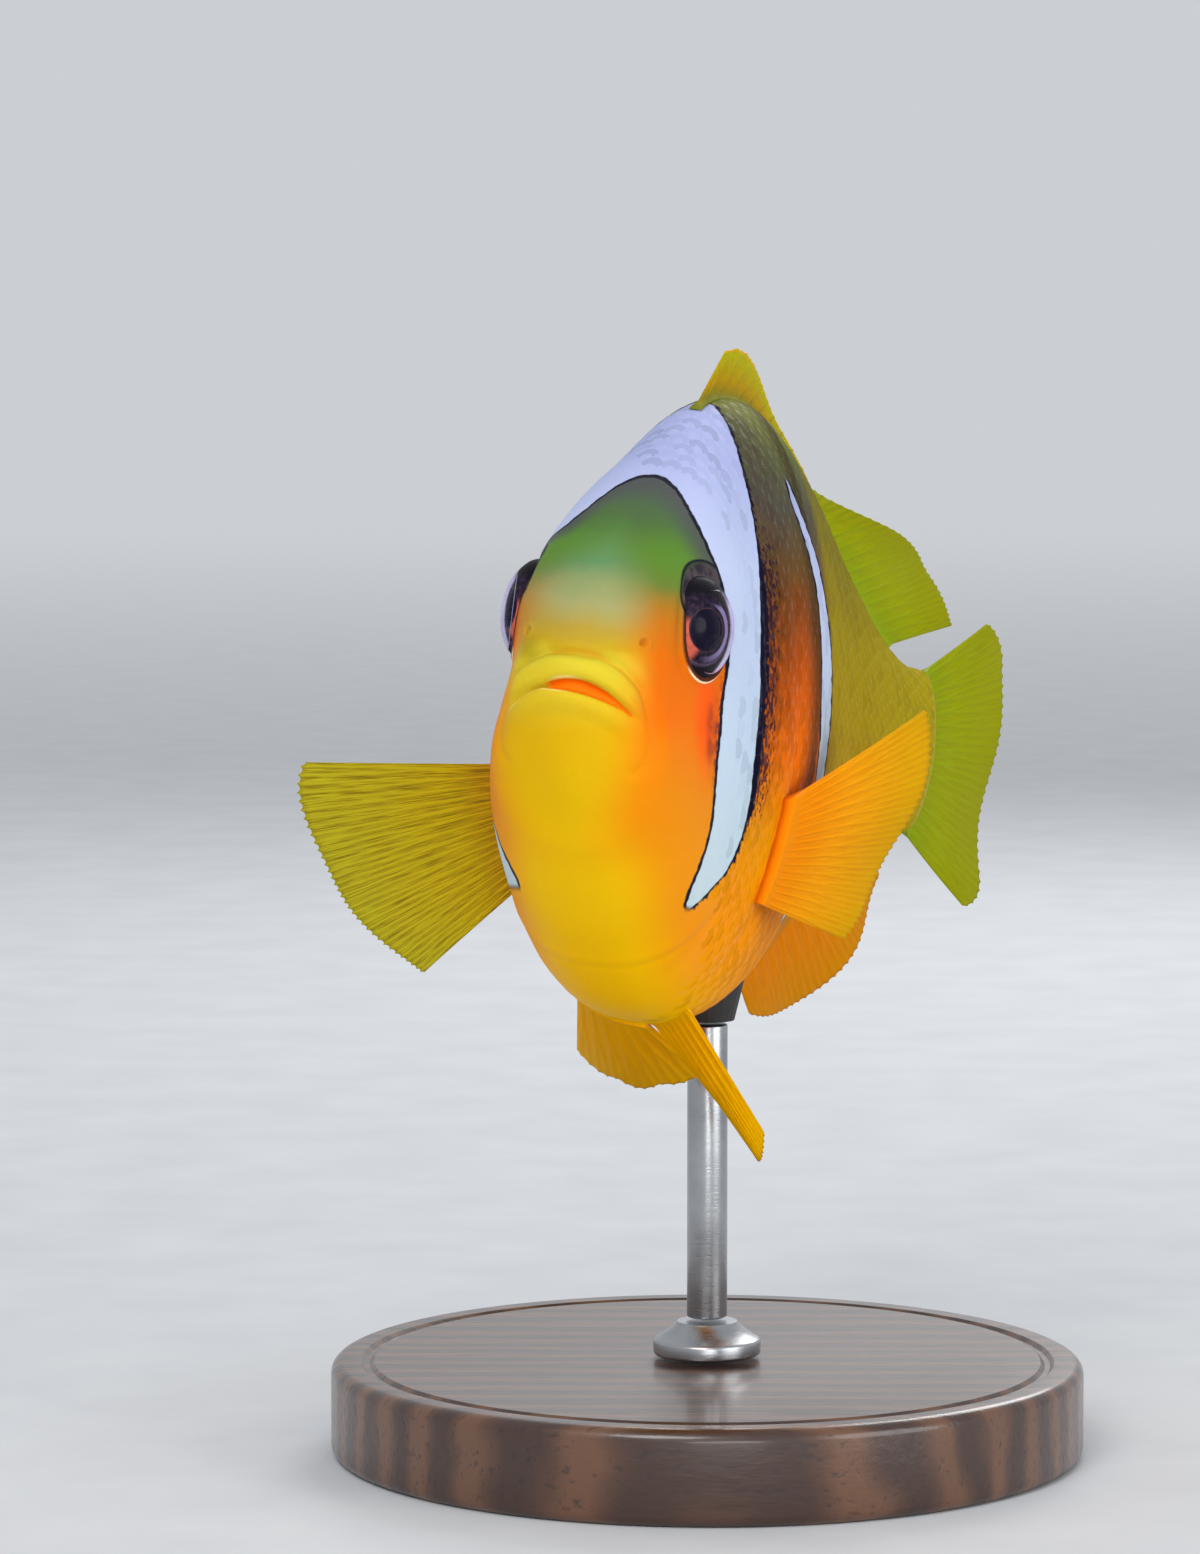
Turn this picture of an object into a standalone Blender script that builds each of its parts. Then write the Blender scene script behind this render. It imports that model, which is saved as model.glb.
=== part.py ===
"""Two-banded clownfish, life size: a still museum model on a small display stand.

The fish is first described swimming straight, in a frame of its own: X to its left, Y from the
snout (0) towards the tail, Z up, with the mouth at Z = 0. bent() then curves the rear of the body
to the fish's left, and the empty fish_pose yaws, pitches and banks the whole fish over its stand.
Every piece is a closed solid, and neighbours keep a gap of about 0.3 mm.
The world origin is the middle of the stand's underside, with +Z up and the fish facing -Y.
"""

import math

import bmesh
import bpy
from mathutils import Matrix, Vector

MM = 0.001

# Driving dimensions of the fish
STANDARD_LENGTH = 88 * MM  # snout to the root of the tail fin
GAP = 0.3 * MM  # left between neighbouring pieces
FIN_THICKNESS = 0.6 * MM
NOSE_LENGTH = 5.5 * MM  # over which the snout rounds off

# Shape of the body: (distance from the snout, value), both in millimetres
BACK = (
    (0, 5.2), (6, 10.0), (12, 14.6), (18, 18.5), (26, 22.5), (35, 23.7), (44, 22.9),
    (54, 20.0), (64, 15.2), (74, 10.8), (82, 8.5), (88, 8.3),
)
BELLY = (
    (0, 5.4), (6, 11.2), (12, 16.4), (20, 20.6), (28, 22.0), (37, 21.2), (48, 18.4),
    (62, 12.8), (74, 7.6), (82, 5.3), (88, 5.1),
)
HALF_WIDTH = (
    (0, 4.8), (6, 7.0), (12, 8.1), (20, 8.9), (28, 9.0), (38, 8.4), (50, 6.9),
    (62, 5.1), (74, 3.3), (88, 1.8),
)
WIDEST_LEVEL = ((0, -1.0), (12, -3.5), (28, -1.5), (50, 0.5), (70, 1.4), (88, 1.7))
# Roundness of the section above and below its widest level: 2 is an ellipse, more is boxier
BACK_ROUNDNESS = ((0, 2.1), (4, 2.4), (9, 2.8), (14, 2.5), (19, 2.05), (26, 1.85), (40, 1.7), (88, 1.8))
BELLY_ROUNDNESS = ((0, 2.2), (12, 2.3), (26, 2.4), (50, 2.2), (88, 1.8))
# The face is drawn in beside the mouth: share of its width, middle (s, z) and reach, in millimetres
CHEEK_HOLLOW = 0.11
HOLLOW_PLACE = (8, 1.5)
HOLLOW_REACH = 6

# The head ends at the gill openings, which reach furthest back on the flanks
GILL_TOP = 24 * MM
GILL_SIDE = 30 * MM
GILL_BOTTOM = 22 * MM
TRUNK_END = 66 * MM  # where the tail stalk is parted from the trunk

# The rear of the body curves to the fish's left on one arc
BEND_START = 42 * MM
BEND_END = 62 * MM
BEND_ANGLE = math.radians(7)

# How the fish is held over its stand
YAW = math.radians(15.5)  # snout swung to the fish's right, so that its left side shows
PITCH = math.radians(8)  # snout up
BANK = math.radians(5)  # left side down
MOUTH_HEIGHT = 60 * MM

# Display stand
BASE_RADIUS = 28 * MM
BASE_THICKNESS = 7 * MM
BASE_EDGE = 1.2 * MM
ROD_RADIUS = 1.5 * MM
ROD_FROM_SNOUT = 47 * MM  # where the rod meets the belly
COLLAR_RADIUS = 4 * MM
COLLAR_HEIGHT = 2.5 * MM
PAD_RADIUS = 3 * MM
PAD_HEIGHT = 2.6 * MM

# Head
EYE_PLACE = Vector((5.6, 9.9, 5.4)) * MM
EYE_RADII = Vector((2.5, 3.7, 3.8)) * MM  # outwards, along the head and upwards
EYE_TURN = math.radians(15)  # how far the eyes look forward from straight out
MOUTH_CORNER = 2.0 * MM  # how far back the mouth reaches
MOUTH_DROOP = 0.42  # fall of the mouth line for each unit back from the snout
LIP_DEPTH = 2.3 * MM
LIP_SWELL = 0.5 * MM  # how far the upper lip stands out of the head
JAW_SWELL = 0.1 * MM
THROAT = 12 * MM  # how far back the lower jaw reaches

GILL_COVER_CENTRE = Vector((32, -3)) * MM  # from the snout, height
GILL_COVER_RADII = Vector((13, 13.5)) * MM
GILL_COVER_INSIDE = 6.2 * MM  # distance of its inner face from the middle of the head
HALF_HEAD = 14 * MM  # wider than half the head anywhere

# Fins
SPINE_LENGTH = 6.9 * MM
SOFT_RAY_LENGTH = 16.5 * MM
ANAL_RAY_LENGTH = 10.5 * MM
TAIL_LENGTH = 20 * MM
TAIL_SPREAD = math.radians(19)
PECTORAL_LENGTH = 22.5 * MM
PELVIC_LENGTH = 15.2 * MM
ROOT_CLEARANCE = 0.65 * MM  # from the skin to the middle of a paired fin's root

RING_SIDES = 32  # points round the body


def clear_scene():
    for thing in list(bpy.data.objects):
        bpy.data.objects.remove(thing)


def through(stations, place):
    """Smooth curve through (place, value) stations in millimetres, read at a place in metres."""
    at = min(max(place / MM, stations[0][0]), stations[-1][0])
    last = len(stations) - 2
    i = min(last, max(k for k in range(len(stations)) if stations[k][0] <= at))
    (x0, y0), (x1, y1) = stations[i], stations[i + 1]
    before, after = stations[max(i - 1, 0)], stations[min(i + 2, last + 1)]
    slope0 = (y1 - before[1]) / (x1 - before[0])
    slope1 = (after[1] - y0) / (after[0] - x0)
    t, span = (at - x0) / (x1 - x0), x1 - x0
    blend0, blend1 = 1 - t * t * (3 - 2 * t), t * t * (3 - 2 * t)
    return y0 * blend0 + y1 * blend1 + span * t * (1 - t) * ((1 - t) * slope0 - t * slope1)


def section(s):
    """(back height, belly depth, half width, widest level) of the straight body, in metres."""
    nose = math.sqrt(max(0.0, 1 - (1 - min(s / NOSE_LENGTH, 1)) ** 2))
    shapes = (BACK, BELLY, HALF_WIDTH, WIDEST_LEVEL)
    return [nose * MM * through(shape, s) for shape in shapes]


def cheek_share(s, z):
    """Share of the section's width that the hollow beside the mouth leaves at a place on the head."""
    away = math.hypot(s / MM - HOLLOW_PLACE[0], z / MM - HOLLOW_PLACE[1]) / HOLLOW_REACH
    return 1 - CHEEK_HOLLOW * math.exp(-(away**2))


def body_point(s, angle, grow=0.0):
    """Point on the straight body. Angle 0 is the back, a quarter turn left, a half turn the belly."""
    back, belly, side, level = section(s)
    up, out = math.cos(angle), math.sin(angle)
    roundness = through(BACK_ROUNDNESS if up > 0 else BELLY_ROUNDNESS, s)
    power = 2 / roundness
    reach = back - level if up > 0 else belly + level
    z = level + math.copysign(abs(up) ** power, up) * (reach + grow)
    x = math.copysign(abs(out) ** power, out) * (side + grow) * cheek_share(s, z)
    return Vector((x, s, z))


def flank_point(s, z, out=0.0):
    """Point on the left flank of the straight body at that height, moved outwards by out."""
    back, belly, side, level = section(s)
    above = z > level
    reach = back - level if above else belly + level
    roundness = through(BACK_ROUNDNESS if above else BELLY_ROUNDNESS, s)
    share = min(abs(z - level) / reach, 1.0)
    return Vector(((1 - share**roundness) ** (1 / roundness) * side + out, s, z))


def underside_point(s, x, out=0.0):
    """Point on the underside of the straight body at that distance from the middle, moved down by out."""
    belly, side, level = section(s)[1:]
    roundness = through(BELLY_ROUNDNESS, s)
    share = (1 - min(abs(x) / side, 1.0) ** roundness) ** (1 / roundness)
    return Vector((x, s, level - (belly + level) * share - out))


def bent(point):
    """Where a point of the straight fish goes once the rear of the body is curved to the left."""
    radius = (BEND_END - BEND_START) / BEND_ANGLE
    turned = min(max(point.y - BEND_START, 0.0) / radius, BEND_ANGLE)
    past = max(point.y - BEND_END, 0.0)
    before = min(point.y, BEND_START)
    x = radius * (1 - math.cos(turned)) + past * math.sin(turned) + point.x * math.cos(turned)
    y = before + radius * math.sin(turned) + past * math.cos(turned) - point.x * math.sin(turned)
    return Vector((x, y, point.z))


def mirrored(point):
    return Vector((-point.x, point.y, point.z))


def material(name, colour, roughness, metallic=0.0):
    finish = bpy.data.materials.new(name)
    finish.use_nodes = True
    shader = finish.node_tree.nodes["Principled BSDF"]
    shader.inputs["Base Color"].default_value = (*colour, 1)
    shader.inputs["Roughness"].default_value = roughness
    shader.inputs["Metallic"].default_value = metallic
    return finish


def add_object(name, mesh, finish=None, parent=None):
    thing = bpy.data.objects.new(name, mesh)
    bpy.context.scene.collection.objects.link(thing)
    thing.parent = parent
    if finish:
        mesh.materials.append(finish)
    return thing


def loft(name, rings, caps):
    """Closed mesh through rings of points, closed at each end by a fan to a middle point."""
    shape = bmesh.new()
    loops = [[shape.verts.new(bent(point)) for point in ring] for ring in rings]
    for ring, following in zip(loops, loops[1:]):
        for k in range(len(ring)):
            after = (k + 1) % len(ring)
            shape.faces.new((ring[k], ring[after], following[after], following[k]))
    for loop, middle in ((loops[0], caps[0]), (loops[-1], caps[1])):
        tip = shape.verts.new(bent(middle))
        for k in range(len(loop)):
            shape.faces.new((loop[k], loop[(k + 1) % len(loop)], tip))
    bmesh.ops.recalc_face_normals(shape, faces=shape.faces)
    mesh = bpy.data.meshes.new(name)
    shape.to_mesh(mesh)
    shape.free()
    mesh.shade_smooth()
    mesh.set_sharp_from_angle(angle=math.radians(40))
    return mesh


def ring_angles():
    return [2 * math.pi * k / RING_SIDES for k in range(RING_SIDES)]


def gill_line(angle):
    """Distance from the snout at which the head ends, round the body."""
    end = GILL_TOP if math.cos(angle) > 0 else GILL_BOTTOM
    return end + (GILL_SIDE - end) * math.sin(angle) ** 2


def body_rings(start, end, count, grow=0.0):
    """Evenly spaced rings from start(angle) to end(angle)."""
    rings = []
    for i in range(count):
        share = i / (count - 1)
        ring = []
        for angle in ring_angles():
            s = start(angle) + (end(angle) - start(angle)) * share
            ring.append(body_point(s, angle, grow))
        rings.append(ring)
    return rings


def head_mesh(name, rows=15, grow=0.0):
    """Head from the snout to the gill openings, its rings crowded at the snout."""
    rings = []
    for i in range(1, rows + 1):
        share = (i / rows) ** 1.7
        rings.append([body_point(gill_line(angle) * share, angle, grow) for angle in ring_angles()])
    middle = Vector((0, GILL_BOTTOM + 3 * MM, 0))
    return loft(name, rings, (Vector((0, -grow, 0)), middle))


def trunk_mesh(name, grow=0.0):
    rings = body_rings(lambda angle: gill_line(angle) + GAP, lambda angle: TRUNK_END, 13, grow)
    caps = (Vector((0, GILL_BOTTOM + 3 * MM + GAP, 0)), Vector((0, TRUNK_END, 2 * MM)))
    return loft(name, rings, caps)


def stalk_mesh(name):
    front = TRUNK_END + GAP
    rings = body_rings(lambda angle: front, lambda angle: STANDARD_LENGTH, 7)
    return loft(name, rings, (Vector((0, front, 2 * MM)), Vector((0, STANDARD_LENGTH, 1.6 * MM))))


def helper(name, mesh, parent):
    """A cutter: a solid that only shapes its neighbours."""
    thing = add_object(name, mesh, parent=parent)
    thing.hide_render = True
    thing.display_type = "WIRE"
    return thing


def boolean(target, cutter, operation):
    change = target.modifiers.new(operation.title(), "BOOLEAN")
    change.operation = operation
    change.object = cutter
    change.solver = "EXACT"


def eye_mesh(name, side, grow=0.0):
    """Flattened ball whose poles point out of the head, turned a little forward."""
    shape = bmesh.new()
    bmesh.ops.create_uvsphere(shape, u_segments=20, v_segments=10, radius=1)
    poles_out = Matrix.Rotation(math.pi / 2, 4, "Y")
    radii = Matrix.Diagonal((*(EYE_RADII + Vector((grow, grow, grow))), 1))
    forward = Matrix.Rotation(-side * EYE_TURN, 4, "Z")
    place = Matrix.Translation((side * EYE_PLACE.x, EYE_PLACE.y, EYE_PLACE.z))
    bmesh.ops.transform(shape, matrix=place @ forward @ radii @ poles_out, verts=shape.verts)
    mesh = bpy.data.meshes.new(name)
    shape.to_mesh(mesh)
    shape.free()
    mesh.shade_smooth()
    return mesh


def prism_mesh(name, outline, low, high):
    """Block whose side view is the outline, given as (from the snout, height) pairs, between two x values."""
    shape = bmesh.new()
    near = [shape.verts.new((low, s, z)) for s, z in outline]
    far = [shape.verts.new((high, s, z)) for s, z in outline]
    shape.faces.new(near)
    shape.faces.new(far)
    for k in range(len(outline)):
        after = (k + 1) % len(outline)
        shape.faces.new((near[k], near[after], far[after], far[k]))
    bmesh.ops.recalc_face_normals(shape, faces=shape.faces)
    mesh = bpy.data.meshes.new(name)
    shape.to_mesh(mesh)
    shape.free()
    return mesh


def mouth_level(s):
    """Height of the parting line of the lips, which droops towards the corners of the mouth."""
    return 0.3 * MM - MOUTH_DROOP * s


def jaw_outline(clear=0.0):
    """Side view of the lower jaw: under the mouth line, from the lip to the throat."""
    front, back, low = -3 * MM, MOUTH_CORNER + clear, -19 * MM
    return (
        (front, mouth_level(front) + clear),
        (back, mouth_level(back) + clear),
        (0.72 * THROAT + clear, -7.5 * MM),
        (THROAT + clear, -14 * MM),
        (THROAT + clear, low),
        (front, low),
    )


def lip_outline(clear=0.0):
    """Side view of the upper lip: a band above the mouth line that thins towards its corners."""
    front, back = -3 * MM, MOUTH_CORNER + clear
    return (
        (front, mouth_level(front) + GAP),
        (back, mouth_level(back) + GAP - clear),
        (back, mouth_level(back) + 0.5 * LIP_DEPTH + clear),
        (0.5 * back, mouth_level(0.5 * back) + LIP_DEPTH + clear),
        (front, mouth_level(0) + LIP_DEPTH + clear),
    )


def gill_cover_outline(clear=0.0):
    """Side view of a gill cover: its front edge follows the cheek, and it runs out past the gill opening."""
    radius = GILL_COVER_RADII + Vector((clear, clear))
    steps, beyond = 12, GILL_SIDE + 10 * MM
    outline = []
    for k in range(steps + 1):
        turn = math.pi / 2 + math.pi * k / steps
        outline.append((
            GILL_COVER_CENTRE.x + radius.x * math.cos(turn),
            GILL_COVER_CENTRE.y + radius.y * math.sin(turn),
        ))
    outline.append((beyond, GILL_COVER_CENTRE.y - radius.y))
    outline.append((beyond, GILL_COVER_CENTRE.y + radius.y))
    return outline


def head_pieces(pose, skin, dark):
    """The head with its jaw, lip and gill covers parted from it by thin cuts, and its eyes."""
    head = add_object("head", head_mesh("head"), skin, pose)
    mouth_parts = (("lower_jaw", jaw_outline, JAW_SWELL), ("upper_lip", lip_outline, LIP_SWELL))
    for name, outline, swell in mouth_parts:
        piece = add_object(name, head_mesh(name, grow=swell), skin, pose)
        region = prism_mesh(name, outline(), -HALF_HEAD, HALF_HEAD)
        boolean(piece, helper(name + "_region", region, pose), "INTERSECT")
        room = prism_mesh(name, outline(GAP), -HALF_HEAD, HALF_HEAD)
        boolean(head, helper(name + "_clearance", room, pose), "DIFFERENCE")
    for side, name in ((1, "left"), (-1, "right")):
        cover = add_object("gill_cover_" + name, head_mesh("gill_cover"), skin, pose)
        region = prism_mesh("gill", gill_cover_outline(), side * GILL_COVER_INSIDE, side * HALF_HEAD)
        boolean(cover, helper("gill_region_" + name, region, pose), "INTERSECT")
        room = prism_mesh("gill", gill_cover_outline(GAP), side * (GILL_COVER_INSIDE - GAP), side * HALF_HEAD)
        boolean(head, helper("gill_clearance_" + name, room, pose), "DIFFERENCE")
        add_object("eye_" + name, eye_mesh("eye", side), dark, pose)
        boolean(head, helper("socket_" + name, eye_mesh("socket", side, GAP), pose), "DIFFERENCE")


def fin_mesh(name, root, tip, rays, rows, side=1):
    """Sheet from root(u) to tip(u), where u runs along the fin's root, with a row of points for each ray.
    side -1 mirrors it to the fish's right."""
    shape = bmesh.new()
    columns = []
    for i in range(rays + 1):
        u = i / rays
        foot, end = root(u), tip(u)
        column = []
        for j in range(rows + 1):
            point = foot.lerp(end, j / rows)
            column.append(shape.verts.new(bent(point if side > 0 else mirrored(point))))
        columns.append(column)
    for column, following in zip(columns, columns[1:]):
        for j in range(rows):
            shape.faces.new((column[j], column[j + 1], following[j + 1], following[j]))
    mesh = bpy.data.meshes.new(name)
    shape.to_mesh(mesh)
    shape.free()
    mesh.shade_smooth()
    return mesh


def add_fin(name, mesh, finish, pose):
    fin = add_object(name, mesh, finish, pose)
    thick = fin.modifiers.new("Thickness", "SOLIDIFY")
    thick.thickness = FIN_THICKNESS
    thick.offset = 0
    thick.use_even_offset = True
    return fin


def hump(u, peak, start, end):
    """1 at the peak, falling off to start at u = 0 and to end at u = 1."""
    if u < peak:
        return 1 - (1 - start) * ((peak - u) / peak) ** 2
    return 1 - (1 - end) * ((u - peak) / (1 - peak)) ** 2


def slope(u):
    """0 up to u = 0 and 1 from u = 1, smooth between them."""
    u = min(max(u, 0), 1)
    return u * u * (3 - 2 * u)


def median_fin(name, ends, length, lean, rays, upward, finish, pose):
    """A fin on the back (upward 1) or under the belly (-1), its rays leaning towards the tail. Ends are the
    distances of its root from the snout, and lean is the tilt of its first and last ray, in degrees."""
    profile = BACK if upward > 0 else BELLY

    def root(u):
        s = ends[0] + (ends[1] - ends[0]) * u
        return Vector((0, s, upward * (MM * through(profile, s) + GAP)))

    def tip(u):
        tilt = math.radians(lean[0] + (lean[1] - lean[0]) * u)
        reach = length(u)
        return root(u) + Vector((0, reach * math.sin(tilt), upward * reach * math.cos(tilt)))

    return add_fin(name, fin_mesh(name, root, tip, rays, 3), finish, pose)


def spiny_length(u):
    """Length of the spiny part of the back fin, half folded, dipping a little between its ten spines."""
    return SPINE_LENGTH * (1 - 0.77 * slope((u - 0.1) / 0.65)) * (1 - 0.04 * abs(math.sin(math.pi * 10 * u)))


def soft_length(u):
    """Length of the soft part, which rises from the low end of the spines to the rear lobe."""
    return SOFT_RAY_LENGTH * (0.09 + 0.91 * slope(u / 0.6)) * (1 - 0.18 * slope((u - 0.7) / 0.3))


def anal_length(u):
    return ANAL_RAY_LENGTH * hump(u, 0.5, 0.5, 0.55)


def median_fins(pose, finish):
    median_fin("dorsal_fin_spines", (25 * MM, 55 * MM), spiny_length, (52, 82), 40, 1, finish, pose)
    median_fin("dorsal_fin_rays", (55.7 * MM, 79 * MM), soft_length, (74, 78), 20, 1, finish, pose)
    median_fin("anal_fin", (53 * MM, 79 * MM), anal_length, (44, 66), 20, -1, finish, pose)


def tail_fin(pose, finish):
    """A fan with a shallow notch between two rounded lobes."""
    top, bottom = MM * through(BACK, STANDARD_LENGTH), -MM * through(BELLY, STANDARD_LENGTH)

    def root(u):
        return Vector((0, STANDARD_LENGTH + GAP, bottom + (top - bottom) * u))

    def tip(u):
        across = 2 * u - 1
        fan = across * TAIL_SPREAD
        corner = max(abs(across) - 0.7, 0) / 0.3
        reach = TAIL_LENGTH * (0.94 + 0.06 * min(abs(across) / 0.7, 1) ** 2 - 0.22 * corner**2)
        return root(u) + Vector((0, reach * math.cos(fan), reach * math.sin(fan)))

    return add_fin("tail_fin", fin_mesh("tail_fin", root, tip, 24, 5), finish, pose)


def pectoral_fin(name, side, sweep, rise, droop, pose, finish):
    """A fan that stands out from the flank behind the gill cover, swept back by an angle from straight out.
    Its upper ray rises and its lowest ray droops by the other two angles, in degrees."""

    def root(u):
        s, z = (28.6 - 1.6 * u) * MM, (-4.4 - 8.2 * u) * MM
        return flank_point(s, z, ROOT_CLEARANCE)

    def tip(u):
        reach = PECTORAL_LENGTH * (1 - 0.5 * u) * (1 - 0.12 * (1 - u) ** 8)
        fall = math.radians(-rise + (rise + droop) * u)
        back = math.radians(sweep)
        out = Vector((math.cos(back), math.sin(back), 0)) * math.cos(fall)
        return root(u) + (out - Vector((0, 0, math.sin(fall)))) * reach

    return add_fin(name, fin_mesh(name, root, tip, 20, 4, side), finish, pose)


def pelvic_fin(name, side, swing, fall, arch, inner, pointed, drawn, lobed, pose, finish):
    """A fan under the breast. Swing is how far its outer and inner rays turn out from straight back, fall how
    far they point down and arch how much more the middle ones do, in degrees. Inner is how near the middle
    its root ends, in millimetres. Pointed is how much longer its middle rays are, drawn how far its tips
    draw together and lobed how deep the notches between its three lobes are, as shares."""

    def root(u):
        return underside_point((27.3 + 2.5 * u) * MM, (4.2 + (inner - 4.2) * u) * MM, ROOT_CLEARANCE)

    def tip(u):
        lobes = lobed * (1 - abs(math.sin(3 * math.pi * u)))
        reach = PELVIC_LENGTH * (1 - 0.05 * u**2 + pointed * math.sin(math.pi * u) - lobes)
        turn = math.radians(swing[0] + (swing[1] - swing[0]) * u)
        drop = math.radians(fall[0] + (fall[1] - fall[0]) * u + arch * math.sin(math.pi * u))
        out = Vector((math.sin(turn), math.cos(turn), 0)) * math.cos(drop)
        return root(u + (0.5 - u) * drawn) + (out - Vector((0, 0, math.sin(drop)))) * reach

    return add_fin(name, fin_mesh(name, root, tip, 12, 4, side), finish, pose)


def turned_mesh(name, outline, sides=40):
    """Solid of revolution about Z from (radius, height) pairs, whose ends lie on the axis."""
    shape = bmesh.new()
    points = [shape.verts.new((radius, 0, height)) for radius, height in outline]
    edges = [shape.edges.new(pair) for pair in zip(points, points[1:])]
    bmesh.ops.spin(
        shape,
        geom=points + edges,
        axis=(0, 0, 1),
        cent=(0, 0, 0),
        steps=sides,
        angle=2 * math.pi,
        use_merge=True,
    )
    bmesh.ops.remove_doubles(shape, verts=shape.verts, dist=0.001 * MM)
    bmesh.ops.recalc_face_normals(shape, faces=shape.faces)
    mesh = bpy.data.meshes.new(name)
    shape.to_mesh(mesh)
    shape.free()
    mesh.shade_smooth()
    mesh.set_sharp_from_angle(angle=math.radians(35))
    return mesh


def stand(pose, belly, wood, steel, rubber):
    """Round base, collar and rod, with a pad on top that is hollowed to the belly."""
    base = (
        (0, 0),
        (BASE_RADIUS - BASE_EDGE, 0),
        (BASE_RADIUS, BASE_EDGE),
        (BASE_RADIUS, BASE_THICKNESS - 2 * BASE_EDGE),
        (BASE_RADIUS - 0.6 * BASE_EDGE, BASE_THICKNESS - 0.6 * BASE_EDGE),
        (BASE_RADIUS - 2 * BASE_EDGE, BASE_THICKNESS),
        (0, BASE_THICKNESS),
    )
    add_object("stand_base", turned_mesh("stand_base", base), wood)
    foot = BASE_THICKNESS + GAP
    pad_foot = belly.z - PAD_HEIGHT
    collar = (
        (0, foot),
        (COLLAR_RADIUS, foot),
        (COLLAR_RADIUS, foot + 0.5 * COLLAR_HEIGHT),
        (ROD_RADIUS + 0.5 * MM, foot + COLLAR_HEIGHT),
        (0, foot + COLLAR_HEIGHT),
    )
    add_object("stand_collar", turned_mesh("stand_collar", collar, 32), steel)
    rod_foot = foot + COLLAR_HEIGHT + GAP
    rod = ((0, rod_foot), (ROD_RADIUS, rod_foot), (ROD_RADIUS, pad_foot - GAP), (0, pad_foot - GAP))
    add_object("stand_rod", turned_mesh("stand_rod", rod, 24), steel)
    top = belly.z + 1.5 * MM
    pad = ((0, pad_foot), (ROD_RADIUS + 0.5 * MM, pad_foot), (PAD_RADIUS, top), (0, top))
    cup = add_object("stand_pad", turned_mesh("stand_pad", pad, 24), rubber)
    boolean(cup, helper("belly_clearance", trunk_mesh("belly_clearance", GAP), pose), "DIFFERENCE")


def fish_pose():
    """The empty that holds the fish, placed so that the rod's top is over the middle of the base."""
    turn = Matrix.Rotation(-YAW, 3, "Z") @ Matrix.Rotation(-PITCH, 3, "X") @ Matrix.Rotation(BANK, 3, "Y")
    belly = bent(Vector((0, ROD_FROM_SNOUT, -MM * through(BELLY, ROD_FROM_SNOUT))))
    offset = turn @ belly
    pose = bpy.data.objects.new("fish_pose", None)
    bpy.context.scene.collection.objects.link(pose)
    pose.rotation_euler = turn.to_euler()
    pose.location = (-offset.x, -offset.y, MOUTH_HEIGHT)
    return pose, Vector((0, 0, MOUTH_HEIGHT + offset.z))


def main():
    clear_scene()
    skin = material("skin", (0.85, 0.42, 0.03), 0.45)
    rear = material("rear_skin", (0.50, 0.40, 0.03), 0.45)
    dark = material("eye", (0.01, 0.01, 0.02), 0.08)
    yellow = material("fin", (0.60, 0.42, 0.03), 0.5)
    wood = material("stand_wood", (0.09, 0.04, 0.02), 0.4)
    steel = material("stand_steel", (0.6, 0.6, 0.6), 0.3, 1.0)
    rubber = material("stand_rubber", (0.03, 0.03, 0.03), 0.7)
    pose, belly = fish_pose()
    head_pieces(pose, skin, dark)
    add_object("trunk", trunk_mesh("trunk"), skin, pose)
    add_object("tail_stalk", stalk_mesh("tail_stalk"), rear, pose)
    median_fins(pose, yellow)
    tail_fin(pose, yellow)
    pectoral_fin("pectoral_fin_left", 1, 74, 23, 8, pose, yellow)
    pectoral_fin("pectoral_fin_right", -1, 15, -5, 43, pose, yellow)
    pelvic_fin("pelvic_fin_left", 1, (17, 20), (30, 31), 4, 1.2, 0.10, 0.5, 0, pose, yellow)
    pelvic_fin("pelvic_fin_right", -1, (14, -4), (16, 12), 5, 0.4, 0, 0, 0.06, pose, yellow)
    stand(pose, belly, wood, steel, rubber)


main()
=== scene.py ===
# %% [markdown]
# # A two-banded clownfish on its museum stand
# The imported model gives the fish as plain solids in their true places. This lesson dresses them: one skin
# without seams, a coat of scales, rayed fins, wet eyes and a turned wooden stand. Everything is in metres, in
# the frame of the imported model, so nothing here has to be fitted by eye.

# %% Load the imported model
import math
import random
from contextlib import contextmanager

import bpy
import numpy as np
from mathutils import Matrix, Vector


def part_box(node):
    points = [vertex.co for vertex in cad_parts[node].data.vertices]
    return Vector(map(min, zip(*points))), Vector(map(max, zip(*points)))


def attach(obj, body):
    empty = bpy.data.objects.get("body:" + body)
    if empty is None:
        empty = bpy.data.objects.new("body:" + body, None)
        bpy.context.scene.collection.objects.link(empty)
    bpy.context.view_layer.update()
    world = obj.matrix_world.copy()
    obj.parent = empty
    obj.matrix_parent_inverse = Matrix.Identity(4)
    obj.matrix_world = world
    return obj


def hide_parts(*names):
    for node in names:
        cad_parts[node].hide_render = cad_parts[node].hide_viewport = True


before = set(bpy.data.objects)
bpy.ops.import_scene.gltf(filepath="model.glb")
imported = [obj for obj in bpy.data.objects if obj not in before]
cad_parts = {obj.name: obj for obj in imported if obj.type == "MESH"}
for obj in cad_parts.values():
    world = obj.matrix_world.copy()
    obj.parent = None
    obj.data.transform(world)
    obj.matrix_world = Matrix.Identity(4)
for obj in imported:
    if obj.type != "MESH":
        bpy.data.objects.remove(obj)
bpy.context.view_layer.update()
MM = 0.001
print("packed solids:", len(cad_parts), "nodes")

# %% [markdown]
# ## The camera, the light and the floor
# The fish is seen almost head on, from a little above its own level. A long lens stands 400 mm off, so the
# face isn't swollen by perspective. The light is plain and soft: a wide lamp above the camera, a paler one on
# the other side to fill the shadows, and one from behind that draws the outline of the fins.

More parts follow.
